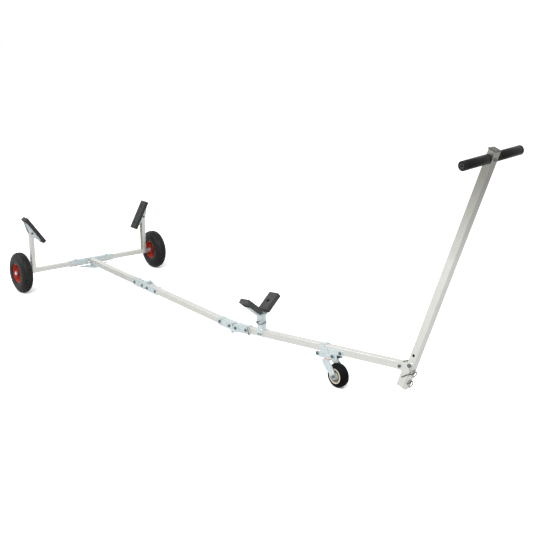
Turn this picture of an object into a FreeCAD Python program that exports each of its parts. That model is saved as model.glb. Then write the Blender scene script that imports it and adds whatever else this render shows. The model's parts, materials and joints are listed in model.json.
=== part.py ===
import FreeCAD, Part
import math
import os
import Sketcher

# Folding hand-launching trolley for a small boat: two pneumatic wheels on swing arms, a drawbar in
# three sections, a V support for the keel, a swivel castor and a pivoted handle with a T grip.
# The frame has +X forward to the handle, +Y to the left wheel and +Z up, with the floor at 0.

os.makedirs("parts", exist_ok=True)
doc = FreeCAD.newDocument("LaunchingTrolley")
sheet = doc.addObject("Spreadsheet::Sheet", "Sizes")

# Driving dimensions in millimetres and degrees
SIZES = (
    ("clearance", 0.3, "gap between faces that slide or stand side by side"),
    ("pin_clearance", 0.05, "radial gap of a pin in a moving part"),
    ("bolt_clearance", 0.2, "radial gap of a fixed bolt in its hole"),
    ("swing_gap", 5, "folded handle to the slanted end of the drawbar"),
    ("margin", 1, "reach of a cutting tool past the face that it cuts"),
    ("plate", 3, "thickness of bent steel plate"),
    ("plate_corner", 4, "corner radius of a plate's outline"),
    ("tube_wall", 2, "wall of the square tubes"),
    ("tube_corner", 2.5, "outer corner radius of the square tubes"),
    ("bolt_radius", 4, "radius of the cross bolts and fold pins"),
    ("head_radius", 7.5, "radius across a bolt head's corners"),
    ("head_height", 5, "height of a bolt head"),
    ("head_overhang", 4, "reach of a larger bolt's head past its shank"),
    ("wheel_radius", 130, "outer radius of the tyre"),
    ("tyre_width", 62, "width of the tyre"),
    ("tyre_bead", 59, "radius of the rim where the tyre seats"),
    ("tyre_bead_width", 48, "width of the tyre at its seat"),
    ("tyre_flank_start", 72, "radius where the tyre's flank begins"),
    ("tyre_flank_end", 102, "radius where the tyre's flank ends"),
    ("tyre_shoulder_radius", 120, "radius of the tyre's shoulder"),
    ("tyre_shoulder_width", 46, "width of the tyre between its shoulders"),
    ("tyre_crown_width", 20, "width of the tyre's level crown"),
    ("rim_wall", 3, "thickness of the plastic rim's barrel"),
    ("rim_flange", 2.5, "height of the rim's flange above the tyre's seat"),
    ("rim_flange_width", 3.5, "thickness of the rim's flange at its edge"),
    ("rim_web", 6, "thickness of the rim's web"),
    ("rim_draft", 3, "growth of the hub's radius towards the web"),
    ("rim_holes", 5, "number of lightening holes in the web"),
    ("rim_hole_radius", 9, "radius of a lightening hole"),
    ("rim_hole_place", 38, "axle to the middle of a lightening hole"),
    ("rim_rib", 4, "thickness of a rib beside the web"),
    ("rim_rib_height", 11, "height of a rib above the web"),
    ("hub_radius", 17, "radius of the wheel's hub at its end"),
    ("hub_length", 66, "length of the wheel's hub"),
    ("stub_radius", 8, "radius of the stub axle"),
    ("stub_collar_radius", 12, "radius of the stub axle's collar"),
    ("stub_nut_radius", 13, "radius across the corners of the stub axle's nut"),
    ("stub_depth", 45, "stub axle inside the arm"),
    ("stub_plug", 60, "plug round the stub axle in the arm's end"),
    ("half_track", 498, "centre plane to a wheel's middle"),
    ("arm_size", 30, "side of the arm's square tube"),
    ("arm_end_gap", 25, "arm's end to the wheel's hub"),
    ("arm_pivot_place", 40, "centre plane to the arm's fold bolt"),
    ("arm_bolt_radius", 5, "radius of the arm's fold bolt"),
    ("bracket_reach", 163, "half length of the axle bracket"),
    ("bracket_middle", 17, "half width of the bracket's full-height wall behind the drawbar"),
    ("bracket_apron", 22, "height of the bracket's front wall above the arms' slot"),
    ("gusset_drop", 6, "gap between the drawbar and the gusset"),
    ("gusset_reach", 92, "forward reach of the gusset"),
    ("gusset_half_rear", 115, "half width of the gusset at the axle bracket"),
    ("gusset_half_front", 30, "half width of the gusset at its front edge"),
    ("gusset_packer", 12, "half width of the packer between the drawbar and the gusset"),
    ("post_place", 414, "centre plane to the middle of the side post"),
    ("post_width", 24, "side post across the trolley"),
    ("post_foot", 6, "side post's flanges below the axle line"),
    ("post_pivot_height", 378, "floor to the side pad's tilt bolt"),
    ("pad_length", 203, "side pad along its slope"),
    ("pad_width", 63, "side pad along the trolley"),
    ("pad_thickness", 23, "thickness of the side pad over its plate"),
    ("pad_skirt", 2, "depth of the pad's ends below the top of its plate"),
    ("pad_slope_right", 54.5, "right pad's slope from level, as it rests"),
    ("pad_slope_left", 61, "left pad's slope from level, as it rests"),
    ("pad_plate_length", 150, "side pad's plate along the slope"),
    ("pad_ear_depth", 11, "pad's ear below the tilt bolt"),
    ("pad_ear_half", 16, "half width of the pad's ear at its foot"),
    ("pad_ear_end", 4, "depth of the pad's ear at the ends of its plate"),
    ("pad_hole_place", 62, "middle of the pad to each of its screw holes"),
    ("bar_size", 35, "side of the drawbar's square tube"),
    ("bar_fall", 1.5, "fall of the rear and middle sections towards the front"),
    ("bar_rise", 6.85, "rise of the front section towards the handle"),
    ("rear_length", 722, "axle line to the first fold"),
    ("middle_length", 898, "first fold to the second fold"),
    ("front_length", 1267, "second fold to the handle's pivot"),
    ("shoe_length", 138, "one channel shoe of a fold"),
    ("shoe_taper", 14, "slant of a shoe's wall at its far end"),
    ("shoe_near_bolt", 31, "fold to the nearer bolt of a shoe"),
    ("shoe_far_bolt", 118, "fold to the further bolt of a shoe"),
    ("shoe_ear_radius", 9, "radius of a shoe's raised ear over a bolt"),
    ("shoe_ear_sink", 4, "middle of a raised ear inside the edge of the wall"),
    ("cheek_length", 30, "reach of the cheek behind a fold's pin"),
    ("fold_gap", 3, "end of a section to the middle of its fold"),
    ("fold_1_rise", 26, "middle of the drawbar up to the first fold's pin"),
    ("fold_2_drop", 22, "middle of the drawbar down to the second fold's pin"),
    ("eye_radius", 10, "radius of the plates round a fold's pin"),
    ("strap_length", 62, "reach of the outer strap over its shoe"),
    ("strap_foot", 9, "outer strap past the middle of the drawbar"),
    ("keel_place", 235, "second fold to the keel support"),
    ("keel_saddle_length", 50, "saddle of the keel support along the drawbar"),
    ("keel_saddle_drop", 25, "saddle's sides down the drawbar"),
    ("keel_stub_height", 84, "stub above the drawbar"),
    ("keel_post_gap", 27, "drawbar to the lower end of the sleeve"),
    ("keel_vee_height", 78.5, "drawbar to the point of the V"),
    ("keel_slope", 40.2, "slope of each keel block from level"),
    ("keel_wing_length", 88, "arm of the V under a keel block, along its slope"),
    ("keel_wing_width", 42, "arm of the V along the drawbar"),
    ("keel_block_length", 113, "keel block along its slope"),
    ("keel_block_width", 72, "keel block along the drawbar"),
    ("keel_block_thickness", 27, "thickness of a keel block"),
    ("keel_block_start", 14, "corner of the V to the foot of a keel block, along the slope"),
    ("keel_block_recess", 5, "depth of the hollow under a keel block"),
    ("keel_block_wall", 8, "wall round the hollow under a keel block"),
    ("keel_hole_radius", 8, "radius of the hole in a keel block"),
    ("castor_place", 745, "second fold to the castor's swivel axis"),
    ("castor_trail", 48, "swivel axis to the castor's axle"),
    ("castor_radius", 58.5, "radius of the castor wheel"),
    ("castor_width", 48, "width of the castor wheel"),
    ("castor_shoulder", 5, "slant of the castor tyre's shoulder"),
    ("castor_hub_radius", 37, "radius of the castor wheel's hub"),
    ("castor_hub_ring", 5, "width of the hub's outer ring"),
    ("castor_hub_recess", 6, "depth of the hollow in the hub's face"),
    ("castor_boss_radius", 13, "radius of the hub's boss"),
    ("castor_axle_radius", 5, "radius of the castor's axle"),
    ("castor_head", 50, "middle of the drawbar down to the top of the fork"),
    ("castor_leg_gap", 4, "castor wheel to a leg of the fork"),
    ("castor_leg_rear", 25, "swivel axis back to the rear edge of a leg's head"),
    ("castor_leg_front", 22, "swivel axis forward to the front edge of a leg's head"),
    ("castor_leg_knee", 20, "fall of a leg's rear edge before it rakes forward"),
    ("castor_leg_hip", 30, "fall of a leg's front edge before it turns down"),
    ("castor_leg_rake", 23, "forward reach of a leg's front edge above that turn"),
    ("castor_leg_end", 15, "radius of a leg's round end"),
    ("castor_leg_bend", 24, "radius of the bends in a leg's edges"),
    ("race_radius", 22, "radius of the castor's swivel race"),
    ("clamp_drop", 44, "middle of the drawbar down to the castor's plate"),
    ("clamp_top", 5, "clamp's side above the middle of the drawbar"),
    ("clamp_rear", 42, "swivel axis back to the clamp's side"),
    ("clamp_front", 66, "swivel axis forward to the end of the clamp's full side"),
    ("clamp_base", 50, "half length of the castor's plate"),
    ("clamp_tab", 108, "swivel axis forward to the end of the clamp's tab"),
    ("clamp_tab_half", 12, "half height of the clamp's tab"),
    ("clamp_tab_bolt", 92, "swivel axis forward to the tab's bolt"),
    ("clamp_low_bolt", 37, "swivel axis forward to the bolt under the drawbar"),
    ("clamp_ear", 67, "swivel axis back to the bolt in the rear ear"),
    ("clamp_ear_radius", 13, "radius of the clamp's rear ear"),
    ("clamp_bolt_drop", 31, "middle of the drawbar down to the lower bolts"),
    ("clamp_strap", 27, "length of the strap over the drawbar"),
    ("handle_tilt", 20, "handle's lean forward from upright"),
    ("handle_length", 984, "handle's pivot to the T grip"),
    ("handle_tail", 124, "handle's tube below its pivot"),
    ("handle_pivot_rise", 12, "middle of the drawbar up to the handle's pivot"),
    ("handle_lock_place", 53, "handle's pivot to the lock hole above it"),
    ("handle_bolt_radius", 5, "radius of the handle's pivot bolt"),
    ("lock_radius", 5, "radius of the lock hole"),
    ("handle_setback", 40, "drawbar's front end to the handle's pivot"),
    ("foot_length", 127, "handle's socket below the pivot"),
    ("foot_reach", 75, "handle's pivot back to the end of the socket on the drawbar"),
    ("foot_rear", 29, "rear edge of the socket's sides behind the handle's middle"),
    ("foot_front", 9, "front edge of the socket's sides ahead of the handle's middle"),
    ("foot_eye_radius", 14, "radius of the socket's sides round the pivot"),
    ("foot_step", 14, "rise of the socket's foot towards its front edge"),
    ("grip_radius", 19, "outer radius of a foam grip"),
    ("grip_tube_radius", 12.5, "radius of the T bar's tube"),
    ("grip_half", 168, "half length of the T bar"),
    ("grip_inset", 5, "end of the T bar's tube inside its grip"),
    ("grip_start", 21, "middle of the handle to the inner end of a grip"),
    ("grip_above", 36, "T grip to the top of the handle's cap"),
    ("grip_tilt", 6, "T bar's lean on its bolt towards the right hand"),
    ("cap_height", 4, "thickness of the handle's cap"),
    ("cap_plug", 15, "cap's plug inside the handle"),
    ("cap_lip", 1, "reach of the handle's cap past the tube"),
)
for row, (alias, value, meaning) in enumerate(SIZES, start=1):
    sheet.set("A%d" % row, meaning)
    sheet.set("B%d" % row, str(value))
    sheet.setAlias("B%d" % row, alias)
doc.recompute()


def size(text):
    """The value of an expression in the driving dimensions."""
    return float(sheet.evalExpression(text))


AXES = {
    "X": FreeCAD.Vector(1, 0, 0),
    "Y": FreeCAD.Vector(0, 1, 0),
    "Z": FreeCAD.Vector(0, 0, 1),
}
TURN_TO = {
    "X": FreeCAD.Rotation(AXES["Y"], 90),
    "Y": FreeCAD.Rotation(AXES["X"], -90),
    "Z": FreeCAD.Rotation(),
}
SIDES = ((-1, "right"), (1, "left"))
pieces = []


def bind(thing, prop, text):
    thing.setExpression(prop, text)


def place(thing, corner):
    for letter, text in zip("xyz", corner):
        bind(thing, "Placement.Base." + letter, text)


def block(name, corner, extent):
    """A box from its lowest corner and its extent, both in expressions."""
    box = doc.addObject("Part::Box", name)
    for prop, text in zip(("Length", "Width", "Height"), extent):
        bind(box, prop, text)
    place(box, corner)
    return box


def rod(name, radius, length, start, axis="Z"):
    """A cylinder from the middle of its lower face, along an axis."""
    cylinder = doc.addObject("Part::Cylinder", name)
    bind(cylinder, "Radius", radius)
    bind(cylinder, "Height", length)
    cylinder.Placement = FreeCAD.Placement(FreeCAD.Vector(), TURN_TO[axis])
    place(cylinder, start)
    return cylinder


def through(name, radius, half, middle, axis="Y"):
    """A cylinder centred on a point, reaching half to each side."""
    start = list(middle)
    index = "XYZ".index(axis)
    start[index] = "%s - (%s)" % (middle[index], half)
    return rod(name, radius, "2 * (%s)" % half, start, axis)


def hexagon(name, radius, height, start, axis="Y"):
    prism = doc.addObject("Part::Prism", name)
    prism.Polygon = 6
    bind(prism, "Circumradius", radius)
    bind(prism, "Height", height)
    prism.Placement = FreeCAD.Placement(FreeCAD.Vector(), TURN_TO[axis])
    place(prism, start)
    return prism


def fuse(name, shapes):
    if len(shapes) == 1:
        return shapes[0]
    union = doc.addObject("Part::MultiFuse", name)
    union.Shapes = shapes
    union.Refine = True
    return union


def cut(name, base, tools):
    result = doc.addObject("Part::Cut", name)
    result.Base = base
    result.Tool = fuse(name + "Tools", tools)
    result.Refine = True
    return result


def bolt(name, half, middle, axis="Y", radius="Sizes.bolt_radius", head="Sizes.head_radius"):
    """A bolt with a head and a nut outside two faces that lie half to each side of its middle."""
    shank = through(name + "Shank", radius, "%s + Sizes.head_height" % half, middle, axis)
    index = "XYZ".index(axis)
    low = list(middle)
    high = list(middle)
    low[index] = "%s - (%s) - Sizes.head_height" % (middle[index], half)
    high[index] = "%s + %s" % (middle[index], half)
    return fuse(name, [
        shank,
        hexagon(name + "Head", head, "Sizes.head_height", low, axis),
        hexagon(name + "Nut", head, "Sizes.head_height", high, axis),
    ])


def origin_part(body, role):
    """One of the planes or axes of a body's own origin."""
    for feature in body.Origin.OriginFeatures:
        if feature.Role == role:
            return feature
    raise ValueError("no origin feature " + role)


def outline(body, name, role, loops, offset="0"):
    """A sketch of closed loops on one of the body's own planes.

    A loop is a list of points, each a pair of expressions, or a circle as (x, y, radius)."""
    sketch = body.newObject("Sketcher::SketchObject", name)
    sketch.AttachmentSupport = (origin_part(body, role), "")
    sketch.MapMode = "FlatFace"
    bind(sketch, "AttachmentOffset.Base.z", offset)

    def fix(kind, *where_and_text):
        text = where_and_text[-1]
        index = sketch.addConstraint(Sketcher.Constraint(kind, *where_and_text[:-1], size(text)))
        bind(sketch, "Constraints[%d]" % index, text)

    for loop in loops:
        if isinstance(loop, tuple):
            across, up, radius = loop
            middle = FreeCAD.Vector(size(across), size(up), 0)
            ring = sketch.addGeometry(Part.Circle(middle, AXES["Z"], size(radius)))
            fix("DistanceX", -1, 1, ring, 3, across)
            fix("DistanceY", -1, 1, ring, 3, up)
            fix("Radius", ring, radius)
            continue
        corners = [FreeCAD.Vector(size(across), size(up), 0) for across, up in loop]
        lines = []
        for index, corner in enumerate(corners):
            following = corners[(index + 1) % len(corners)]
            lines.append(sketch.addGeometry(Part.LineSegment(corner, following)))
        for index, line in enumerate(lines):
            sketch.addConstraint(Sketcher.Constraint(
                "Coincident", line, 2, lines[(index + 1) % len(lines)], 1))
        for line, (across, up) in zip(lines, loop):
            fix("DistanceX", -1, 1, line, 1, across)
            fix("DistanceY", -1, 1, line, 1, up)
    return sketch


def pad(body, name, sketch, length, midplane=False, backwards=False):
    feature = body.newObject("PartDesign::Pad", name)
    feature.Profile = sketch
    bind(feature, "Length", length)
    feature.Midplane = midplane
    feature.Reversed = backwards
    doc.recompute()
    return feature


def pocket(body, name, sketch, length):
    """Cut a sketch out to half the length on each side of its plane."""
    feature = body.newObject("PartDesign::Pocket", name)
    feature.Profile = sketch
    bind(feature, "Length", length)
    feature.Midplane = True
    before = body.Shape.Volume
    doc.recompute()
    if body.Shape.Volume >= before:
        raise ValueError(name + " cuts nothing")
    return feature


def revolve(body, name, points):
    """Turn a closed outline of (along the axle, radius) points round the axle."""
    section = outline(body, name + "Section", "YZ_Plane", [points])
    feature = body.newObject("PartDesign::Revolution", name)
    feature.Profile = section
    feature.ReferenceAxis = (section, ["H_Axis"])
    feature.Angle = 360
    doc.recompute()
    return feature


def both_ways(half_profile):
    """A symmetric section from the points of its half on the positive side."""
    mirrored = [("-1 * (%s)" % along_axle, radius) for along_axle, radius in reversed(half_profile)]
    return list(half_profile) + mirrored


def round_edges(body, name, radius, chosen):
    """Fillet the edges of the body's last feature that the test picks."""
    base = body.Tip
    names = []
    for index, edge in enumerate(base.Shape.Edges, start=1):
        if chosen(edge):
            names.append("Edge%d" % index)
    feature = body.newObject("PartDesign::Fillet", name)
    feature.Base = (base, names)
    bind(feature, "Radius", radius)
    doc.recompute()
    return feature


def along(axis):
    """Whether an edge is straight and runs along an axis."""
    def test(edge):
        if not isinstance(edge.Curve, Part.Line):
            return False
        return abs(abs(edge.Curve.Direction.dot(AXES[axis])) - 1) < 1e-6
    return test


def corner_near(places):
    """Whether an edge runs across the trolley at one of the (x, z) places of an outline."""
    spots = [FreeCAD.Vector(size(x), 0, size(z)) for x, z in places]

    def test(edge):
        if not along("Y")(edge):
            return False
        point = edge.Vertexes[0].Point
        here = FreeCAD.Vector(point.x, 0, point.z)
        return any((here - spot).Length < size("clearance") for spot in spots)
    return test


def side_plates(name, points, face, rounded=()):
    """Two like plates outside two faces that lie face to each side of the middle.

    The corners listed in rounded get a bend of (radius, places)."""
    plates = []
    for hand, side in SIDES:
        word = name + side.title()
        plate = doc.addObject("PartDesign::Body", word)
        sketch = outline(plate, word + "Outline", "XZ_Plane", [points], "%d * (%s)" % (-hand, face))
        pad(plate, word + "Pad", sketch, "Sizes.plate", backwards=hand > 0)
        for index, (radius, places) in enumerate(rounded):
            round_edges(plate, "%sRound%d" % (word, index), radius, corner_near(places))
        plates.append(plate)
    return plates


def side_discs(name, radius, face, x, z):
    """Two like discs, as thick as the plates, outside two faces."""
    return [
        rod(name + "Right", radius, "Sizes.plate", (x, "-1 * (%s) - Sizes.plate" % face, z), "Y"),
        rod(name + "Left", radius, "Sizes.plate", (x, face, z), "Y"),
    ]


def square_tube(name, side, start, end, holes=()):
    """A hollow square tube along X, with cross holes given as a plane, a place and a radius."""
    body = doc.addObject("PartDesign::Body", name)
    half = "(%s) / 2" % side
    inner = "((%s) / 2 - Sizes.tube_wall)" % side

    def square(reach):
        return [("-1 * " + reach, "-1 * " + reach), (reach, "-1 * " + reach),
                (reach, reach), ("-1 * " + reach, reach)]
    section = outline(body, name + "Section", "YZ_Plane", [square(half), square(inner)], start)
    pad(body, name + "Pad", section, "(%s) - (%s)" % (end, start))
    round_edges(body, name + "Corners", "Sizes.tube_corner", lambda edge: (
        along("X")(edge) and abs(edge.Vertexes[0].Point.y) > size(inner) + size("Sizes.clearance")))
    for index, (plane, across, up, radius) in enumerate(holes):
        sketch = outline(body, "%sHole%d" % (name, index), plane, [(across, up, radius)])
        pocket(body, "%sBore%d" % (name, index), sketch, "2 * (%s)" % side)
    return body


def keep(label, thing, frame):
    """Name a finished piece, put it in its frame and list it for export."""
    thing.Label = label
    thing.Placement = frame.multiply(thing.Placement)
    pieces.append((label, thing))
    return thing


def frame_at(point, turn=0, axis="Y"):
    return FreeCAD.Placement(FreeCAD.Vector(*point), FreeCAD.Rotation(AXES[axis], turn))


def step_on(frame, length, pivot_height, turn):
    """The next section's frame, turned about the fold's pin."""
    pin = frame.multVec(FreeCAD.Vector(length, 0, pivot_height))
    turned = FreeCAD.Placement(pin, FreeCAD.Rotation(AXES["Y"], turn))
    return turned.multiply(frame_at((0, 0, -pivot_height)))


# Frames of the drawbar's sections, the handle and the keel support, before the shift to the origin
axle_frame = frame_at((0, 0, size("wheel_radius")))
rear_frame = frame_at((0, 0, size("wheel_radius")), size("bar_fall"))
middle_frame = step_on(rear_frame, size("rear_length"), size("fold_1_rise"), size("bar_fall"))
front_frame = step_on(middle_frame, size("middle_length"), -size("fold_2_drop"), -size("bar_rise"))
handle_frame = FreeCAD.Placement(
    front_frame.multVec(FreeCAD.Vector(size("front_length"), 0, size("handle_pivot_rise"))),
    FreeCAD.Rotation(AXES["Y"], size("handle_tilt")))

# The origin is under the middle of the whole length, so everything moves back by that much
foremost = handle_frame.multVec(FreeCAD.Vector(
    size("bar_size / 2 + cap_lip"), 0, size("handle_length + grip_above")))
shift = frame_at(((size("wheel_radius") - foremost.x) / 2, 0, 0))
axle_frame = shift.multiply(axle_frame)
rear_frame = shift.multiply(rear_frame)
middle_frame = shift.multiply(middle_frame)
front_frame = shift.multiply(front_frame)
handle_frame = shift.multiply(handle_frame)

BAR = "Sizes.bar_size / 2"
SHOE = "(Sizes.bar_size / 2 + Sizes.plate)"
ARM = "Sizes.arm_size / 2"
BOLT_HOLE = "Sizes.bolt_radius + Sizes.bolt_clearance"
PIN_HOLE = "Sizes.bolt_radius + Sizes.pin_clearance"
EYE_CORNER = "(Sizes.eye_radius * cos(45deg))"
STRAP_FACE = "(%s + Sizes.clearance)" % SHOE
STRAP_OUTER = "(%s + Sizes.plate)" % STRAP_FACE

# The second fold bends the drawbar upwards over its low pin, so its tube ends stand further apart
BEND_GAP = (
    "(Sizes.fold_gap"
    " + (Sizes.fold_2_drop + Sizes.bar_size / 2) * tan((Sizes.bar_fall + Sizes.bar_rise) * 1deg / 2))")

# The castor stands on the floor, so its axle's drop below the drawbar follows from the slopes
FRONT_START_HEIGHT = (
    "(Sizes.wheel_radius - (Sizes.rear_length + Sizes.middle_length) * sin(Sizes.bar_fall * 1deg)"
    " - Sizes.fold_2_drop * (cos(Sizes.bar_fall * 1deg) - cos(Sizes.bar_rise * 1deg)))")
CASTOR_DROP = (
    "((%s + (Sizes.castor_place + Sizes.castor_trail) * sin(Sizes.bar_rise * 1deg)"
    " - Sizes.castor_radius) / cos(Sizes.bar_rise * 1deg))" % FRONT_START_HEIGHT)


def shoe_channel(name, near_end, side):
    """A channel under the tube, open at the top, with an ear above each bolt.

    It runs away from the fold on the given side of it, and its walls slant at the far end."""
    far = "%d * Sizes.shoe_length" % side
    shoulder = "%d * (Sizes.shoe_length - Sizes.shoe_taper)" % side
    near = "%d * %s" % (side, near_end)
    base = "-1 * " + SHOE
    low = near if side > 0 else far
    walls = side_plates(name + "Wall", [(near, base), (far, base), (shoulder, BAR), (near, BAR)], BAR)
    web = block(name + "Web", (low, "-1 * " + BAR, base),
                ("Sizes.shoe_length - " + near_end, "Sizes.bar_size", "Sizes.plate"))
    ears = []
    for word, bolt_place in (("NearEar", "Sizes.shoe_near_bolt"), ("FarEar", "Sizes.shoe_far_bolt")):
        ears += side_discs(name + word, "Sizes.shoe_ear_radius", BAR,
                           "%d * %s" % (side, bolt_place), "%s - Sizes.shoe_ear_sink" % BAR)
    return walls + ears + [web]


def shoe_bores(name, side, pin, reach):
    """The bores of a shoe's two bolts and of the fold's pin."""
    return [
        through(name + "PinBore", PIN_HOLE, reach, ("0", "0", pin)),
        through(name + "NearBore", BOLT_HOLE, reach, ("%d * Sizes.shoe_near_bolt" % side, "0", "0")),
        through(name + "FarBore", BOLT_HOLE, reach, ("%d * Sizes.shoe_far_bolt" % side, "0", "0")),
    ]


def fixed_shoe(name, rise, up):
    """The shoe behind a fold, with cheeks that carry the pin. up is 1 where the pin lies above."""
    pin = "%d * %s" % (up, rise)
    edge = "%d * %s" % (up, BAR)
    cheeks = side_plates(name + "Cheek", [
        ("-1 * Sizes.cheek_length", edge),
        ("-1 * %s" % EYE_CORNER, "%s + %d * %s" % (pin, up, EYE_CORNER)),
        ("0", pin),
        ("-1 * Sizes.fold_gap", edge),
        ("-1 * Sizes.fold_gap", "0"),
        ("-1 * Sizes.cheek_length", "0"),
    ], BAR)
    eyes = side_discs(name + "Eye", "Sizes.eye_radius", BAR, "0", pin)
    solid = fuse(name + "Solid", shoe_channel(name, "Sizes.fold_gap", -1) + cheeks + eyes)
    return cut(name, solid, shoe_bores(name, -1, pin, SHOE + " + Sizes.margin"))


def swing_shoe(name, rise, up):
    """The shoe in front of a fold, with outer straps that turn on the pin."""
    pin = "%d * %s" % (up, rise)
    start = "(Sizes.eye_radius + Sizes.fold_gap)"
    foot = "%d * Sizes.strap_foot" % -up
    end = ("Sizes.strap_length", foot)
    straps = side_plates(name + "Strap", [
        ("-1 * " + EYE_CORNER, "%s - %d * %s" % (pin, up, EYE_CORNER)),
        ("-1 * " + EYE_CORNER, "%s + %d * %s" % (pin, up, EYE_CORNER)),
        (EYE_CORNER, "%s + %d * %s" % (pin, up, EYE_CORNER)),
        ("Sizes.strap_length", "%d * %s" % (up, BAR)),
        end,
        ("Sizes.eye_radius", foot),
    ], STRAP_FACE, [("Sizes.plate_corner", [end, ("Sizes.strap_length", "%d * %s" % (up, BAR))])])
    eyes = side_discs(name + "Eye", "Sizes.eye_radius", STRAP_FACE, "0", pin)
    low = "-1 * Sizes.strap_foot"
    packers = []
    for hand, side in SIDES:
        inner = SHOE if hand > 0 else "-1 * " + STRAP_FACE
        packers.append(block("%sPacker%s" % (name, side.title()), (start, inner, low), (
            "Sizes.strap_length - Sizes.plate_corner - %s" % start, "Sizes.clearance",
            "2 * Sizes.strap_foot")))
    solid = fuse(name + "Solid", shoe_channel(name, start, 1) + straps + eyes + packers)
    return cut(name, solid, shoe_bores(name, 1, pin, STRAP_OUTER + " + Sizes.margin"))


def cross_bolts(label, frame, places):
    """The cross bolts of one section, as one node. A place is (x, z, half width over the plates)."""
    bolts = []
    for index, (x, z, half) in enumerate(places):
        bolts.append(bolt("%s%d" % (label.title().replace("_", ""), index), half, (x, "0", z)))
    group = doc.addObject("Part::Compound", label.title().replace("_", "") + "Set")
    group.Links = bolts
    keep(label, group, frame)


def fold_pin(label, frame, height):
    keep(label, bolt(label.title().replace("_", ""), STRAP_OUTER + " + Sizes.clearance",
                     ("0", "0", height)), frame)


def bar_hole(x, z="0"):
    return ("XZ_Plane", x, z, BOLT_HOLE)


# Rear section of the drawbar. It starts in front of the axle bracket's wall, square to its own slope
rear_end = "Sizes.rear_length - Sizes.fold_gap"
wall_front = "%s + Sizes.plate + 2 * Sizes.clearance" % ARM
rear_start = "%s + %s * sin(Sizes.bar_fall * 1deg)" % (wall_front, BAR)
rear_bolts = ["Sizes.rear_length - Sizes.shoe_far_bolt", "Sizes.rear_length - Sizes.shoe_near_bolt"]
keep("drawbar_rear_tube", square_tube(
    "RearTube", "Sizes.bar_size", rear_start, rear_end, [bar_hole(x) for x in rear_bolts]), rear_frame)
fold_1_frame = rear_frame.multiply(frame_at((size("rear_length"), 0, 0)))
keep("fold_1_rear_shoe", fixed_shoe("Fold1RearShoe", "Sizes.fold_1_rise", 1), fold_1_frame)
fold_pin("fold_1_pin", fold_1_frame, "Sizes.fold_1_rise")
cross_bolts("drawbar_rear_bolts", rear_frame, [(x, "0", SHOE) for x in rear_bolts])

# Axle bracket: a channel across the trolley, open to the rear, in which the two arms swing.
# Its front wall leaves a slot above the base, except behind the drawbar
bracket_half = "(%s + Sizes.clearance + Sizes.plate)" % ARM
bracket_depth = "Sizes.arm_size + Sizes.clearance + Sizes.plate"
bracket_wall = "%s + Sizes.clearance" % ARM
bracket = fuse("AxleBracketSolid", [
    block("BracketTop", ("-1 * " + ARM, "-1 * Sizes.bracket_reach", bracket_wall),
          (bracket_depth, "2 * Sizes.bracket_reach", "Sizes.plate")),
    block("BracketBase", ("-1 * " + ARM, "-1 * Sizes.bracket_reach", "-1 * " + bracket_half),
          (bracket_depth, "2 * Sizes.bracket_reach", "Sizes.plate")),
    block("BracketApron",
          (bracket_wall, "-1 * Sizes.bracket_reach", bracket_half + " - Sizes.bracket_apron"),
          ("Sizes.plate", "2 * Sizes.bracket_reach", "Sizes.bracket_apron")),
    block("BracketMiddle", (bracket_wall, "-1 * Sizes.bracket_middle", "-1 * " + bracket_half),
          ("Sizes.plate", "2 * Sizes.bracket_middle", "2 * " + bracket_half)),
])
bracket_bores = [
    through("BracketBore" + side.title(), "Sizes.arm_bolt_radius + Sizes.pin_clearance",
            bracket_half + " + Sizes.margin", ("0", "%d * Sizes.arm_pivot_place" % hand, "0"), "Z")
    for hand, side in SIDES]
keep("axle_bracket", cut("AxleBracket", bracket, bracket_bores), axle_frame)

# Gusset: a tapered plate under the drawbar, on a packer
gusset_plate = doc.addObject("PartDesign::Body", "GussetPlate")
gusset_start = "%s + %s * sin(Sizes.bar_fall * 1deg)" % (wall_front, "(%s + Sizes.gusset_drop)" % SHOE)
gusset_end = "%s + Sizes.gusset_reach" % ARM
gusset_top = "-1 * %s - Sizes.gusset_drop" % BAR
gusset_plan = outline(gusset_plate, "GussetPlan", "XY_Plane", [[
    (gusset_start, "-1 * Sizes.gusset_half_rear"),
    (gusset_start, "Sizes.gusset_half_rear"),
    (gusset_end, "Sizes.gusset_half_front"),
    (gusset_end, "-1 * Sizes.gusset_half_front"),
]], gusset_top)
pad(gusset_plate, "GussetPad", gusset_plan, "Sizes.plate", backwards=True)
round_edges(gusset_plate, "GussetCorners", "Sizes.plate_corner", along("Z"))
packer = block("GussetPacker", (rear_start, "-1 * Sizes.gusset_packer", gusset_top),
               ("%s - (%s)" % (gusset_end, rear_start), "2 * Sizes.gusset_packer", "Sizes.gusset_drop"))
keep("axle_gusset", fuse("Gusset", [gusset_plate, packer]), rear_frame)

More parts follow.
